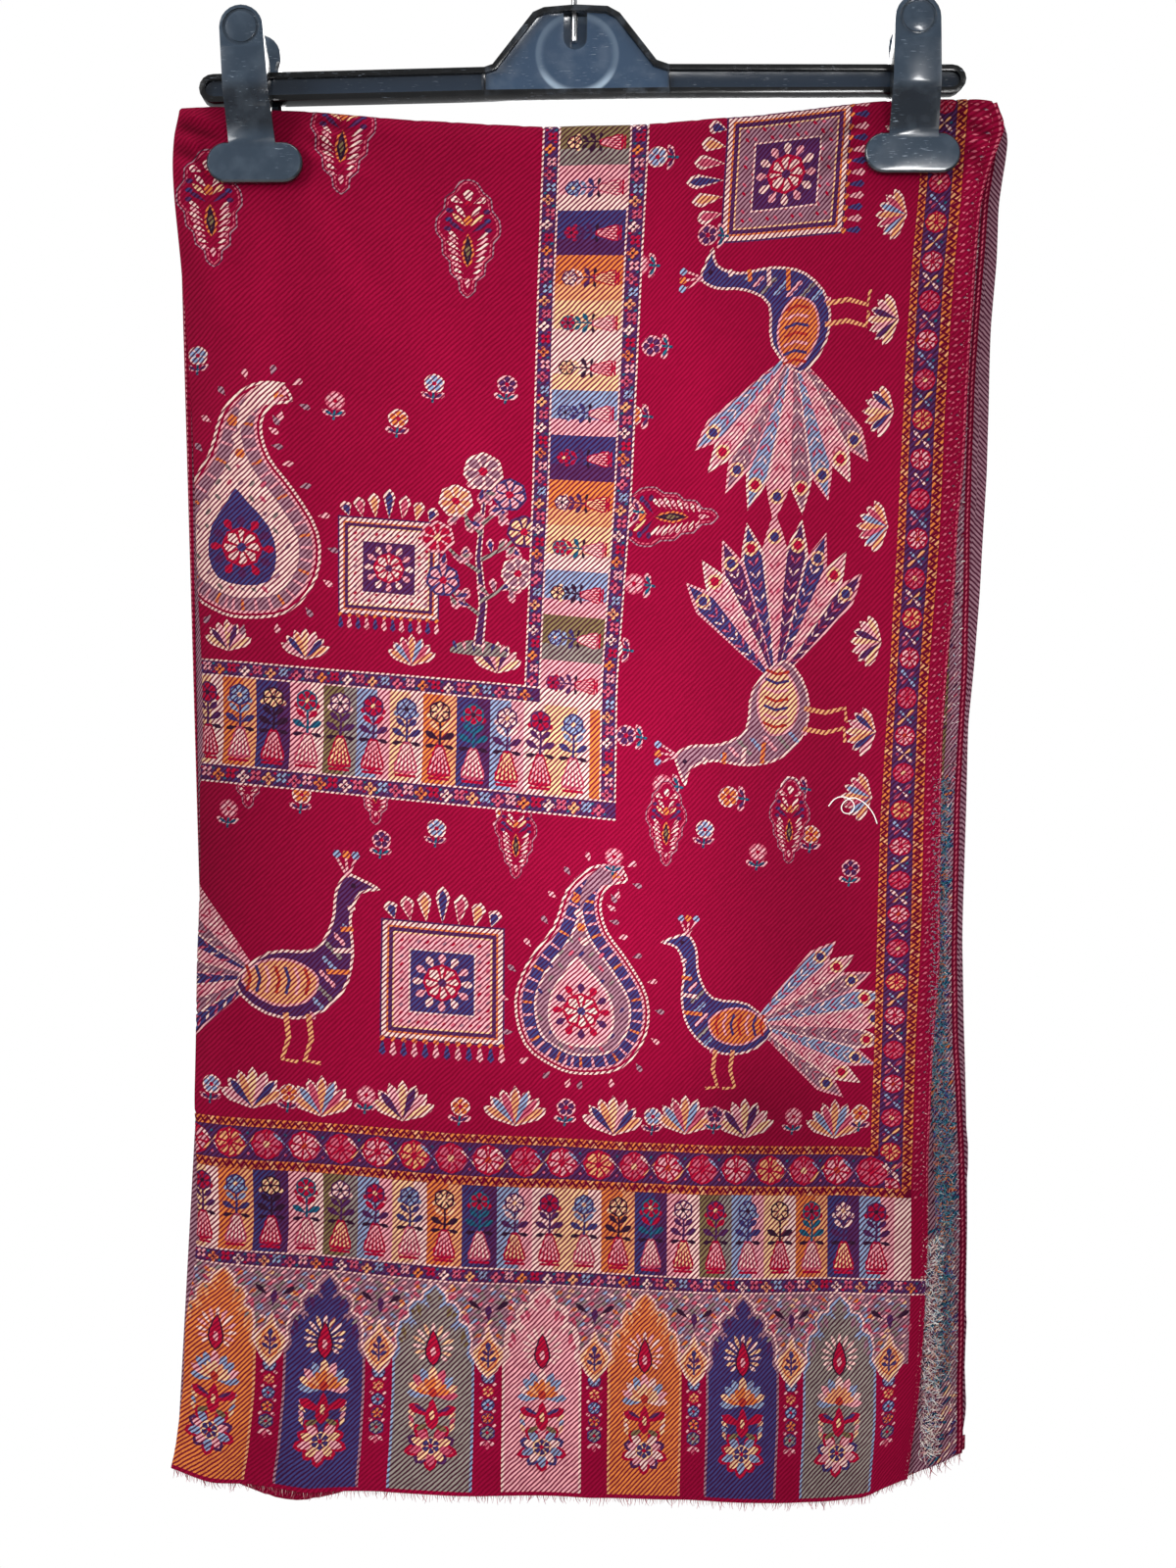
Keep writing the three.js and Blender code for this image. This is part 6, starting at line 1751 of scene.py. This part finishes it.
def thread_dye(name, root, tips, odd):
    """Twisted thread: dyed at the root, paler at its frayed tip, one in some another dye."""
    material, tree, shader = nodes_of(name)
    choice = tree.nodes.new("ShaderNodeValToRGB")
    choice.color_ramp.interpolation = "CONSTANT"
    ends = choice.color_ramp.elements
    ends[0].color = root
    for k, dye in enumerate(odd):
        (ends[1] if k == 0 else ends.new(0.5)).color = dye
        ends[k + 1].position = 0.55 + 0.45 * k / len(odd)
    tree.links.new(attribute(tree, "tone"), choice.inputs[0])
    frayed = ramp_between(tree, attribute(tree, "tip"), 0.35, 0.95)
    tree.links.new(blend_colour(tree, frayed, choice.outputs[0], tips), shader.inputs["Base Color"])
    where = tree.nodes.new("ShaderNodeTexCoord").outputs["Object"]
    twist = noise_at(tree, where, 5200, 2)
    tree.links.new(calc(tree, "ADD", 0.7, calc(tree, "MULTIPLY", twist, 0.25)), shader.inputs["Roughness"])
    shader.inputs["Sheen Weight"].default_value = 0.08
    bump(tree, shader, twist, 0.00006)
    return material


fringe_threads = thread_dye("fringe_threads", linear(146, 8, 48), linear(206, 110, 130),
                            [linear(176, 30, 66), linear(226, 180, 180)])
float_threads = thread_dye("cut_shuttle_threads", linear(18, 102, 122), linear(74, 156, 172),
                           [linear(34, 60, 150), linear(10, 124, 112), linear(208, 112, 58)])
hem_run = front_place(np.linspace(2.0, FRONT_WIDTH - 2, 180), np.zeros(180), np.full(180, WALL / 2))
fringe_tree = thread_tree("eyelash_fringe", 3)
fringe = set_threads("hem_threads", fringe_tree, [hem_run.tolist()], fringe_threads, Spacing=0.00085,
                     Length=0.0036, Thickness=0.00026, Lean=(0.25, 0.30, 3.1), Point=(pi, 0.0, 0.0), Seed=3)
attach(fringe, "root")
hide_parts("hem_fringe")


def sheet_run(place, us, vs, deep):
    us, vs = np.broadcast_arrays(np.asarray(us, float), np.asarray(vs, float))
    return place(us, vs, np.full(len(us), float(deep))).tolist()


def cloth_threads(name, runs, material, **sizes):
    piece = set_threads(name, fringe_tree, runs, material, **sizes)
    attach(piece, "root")
    return piece


# The trimmed ends of the coloured shuttles, standing as a soft fuzz on the wrong side,
# teal and blue beside the figures and cream beside the arches, with the small loops of
# the selvedge and the wisps where the corners of the layers meet.
TOWARDS_FRONT = (pi / 2, 0.0, 0.3)
cream_threads = thread_dye("cream_shuttle_threads", linear(246, 236, 228), linear(255, 250, 244),
                           [linear(160, 190, 210), linear(214, 150, 150)])
shuttle_fuzz = cloth_threads(
    "shuttle_fuzz", [sheet_run(under_place, np.full(150, u), np.linspace(40, 330, 150), -0.1)
                     for u in np.arange(347.2, 355.5, 1.0)],
    float_threads, Spacing=0.00105, Length=0.003, Thickness=0.00026, Lean=(1.0, 0.6, 1.2), Point=TOWARDS_FRONT,
                             Seed=11)
cream_fuzz = cloth_threads(
    "cream_fuzz", [sheet_run(under_place, np.full(90, u), np.linspace(6, 110, 90), -0.1)
                   for u in np.arange(341.6, 349.5, 1.05)],
    cream_threads, Spacing=0.0013, Length=0.0034, Thickness=0.00028, Lean=(1.0, 0.6, 1.2), Point=TOWARDS_FRONT,
                           Seed=12)
reverse_fuzz = cloth_threads(
    "reverse_fuzz", [sheet_run(under_place, np.full(300, u), np.linspace(8, 648, 300), -0.1)
                     for u in (350.0, 355.5, 357.8)],
    cream_threads, Spacing=0.0032, Length=0.0016, Thickness=0.00022, Lean=(1.0, 0.6, 1.2), Point=TOWARDS_FRONT,
                             Seed=13)
selvedge_loops = cloth_threads(
    "selvedge_loops", [sheet_run(front_place, np.full(300, u), np.linspace(3, 650, 300), 0.05)
                       for u in (351.2, 353.6)],
    fringe_threads, Spacing=0.0021, Length=0.0012, Thickness=0.00028, Lean=(1.1, 0.7, 1.3), Point=TOWARDS_FRONT,
                               Seed=14)
corner_fringe = cloth_threads(
    "corner_fringe", [sheet_run(under_place, np.linspace(298, 361, 60), np.zeros(60), WALL / 2)],
    fringe_threads, Spacing=0.0009, Length=0.0052, Thickness=0.00026, Lean=(0.5, 0.4, 3.1), Point=(pi, 0.0, 0.0),
                              Seed=15)


def strand(name, path, thickness, material):
    """One loose end of yarn, a thin round tube along a smooth path."""
    dense = np.array(path, float)
    for _ in range(3):
        new = np.empty((2 * len(dense), 3))
        new[0], new[-1] = dense[0], dense[-1]
        new[1:-1:2] = 0.75 * dense[:-1] + 0.25 * dense[1:]
        new[2:-1:2] = 0.25 * dense[:-1] + 0.75 * dense[1:]
        dense = new
    points, faces = [], []
    sides = 5
    for i, p in enumerate(dense):
        ahead = Vector(dense[min(i + 1, len(dense) - 1)] - dense[max(i - 1, 0)]).normalized()
        aside = ahead.cross(Vector((0, 1, 0))).normalized()
        other = ahead.cross(aside)
        for k in range(sides):
            a = 2 * pi * k / sides
            points.append((Vector(p) + (aside * cos(a) + other * sin(a)) * thickness / 2) * MM)
    for i in range(len(dense) - 1):
        for k in range(sides):
            a, b = i * sides + k, i * sides + (k + 1) % sides
            faces.append((a, b, b + sides, a + sides))
    faces += [tuple(range(sides))[::-1], tuple(range(len(points) - sides, len(points)))]
    mesh = bpy.data.meshes.new(name)
    mesh.from_pydata(points, [], faces)
    if sum(p.area * (p.center - Vector(points[0])).dot(p.normal) for p in mesh.polygons) < 0:
        mesh.flip_normals()
    mesh.polygons.foreach_set("use_smooth", [True] * len(mesh.polygons))
    for layer, value in (("tip", 0.8), ("tone", 0.2)):
        mesh.attributes.new(layer, "FLOAT", "POINT").data.foreach_set("value", np.full(len(points), value))
    mesh.materials.append(material)
    piece = placed(name, mesh)
    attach(piece, "root")
    return piece


pulled = [(301, 345), (304, 349), (309, 350), (314, 347), (313, 342), (308, 342), (307, 346), (312, 350), (318, 348),
          (323, 343), (325, 338)]
pulled_yarn = strand("pulled_yarn", sheet_run(front_place, [u for u, _ in pulled], [v for _, v in pulled], -0.3),
                     0.55, cream_threads)
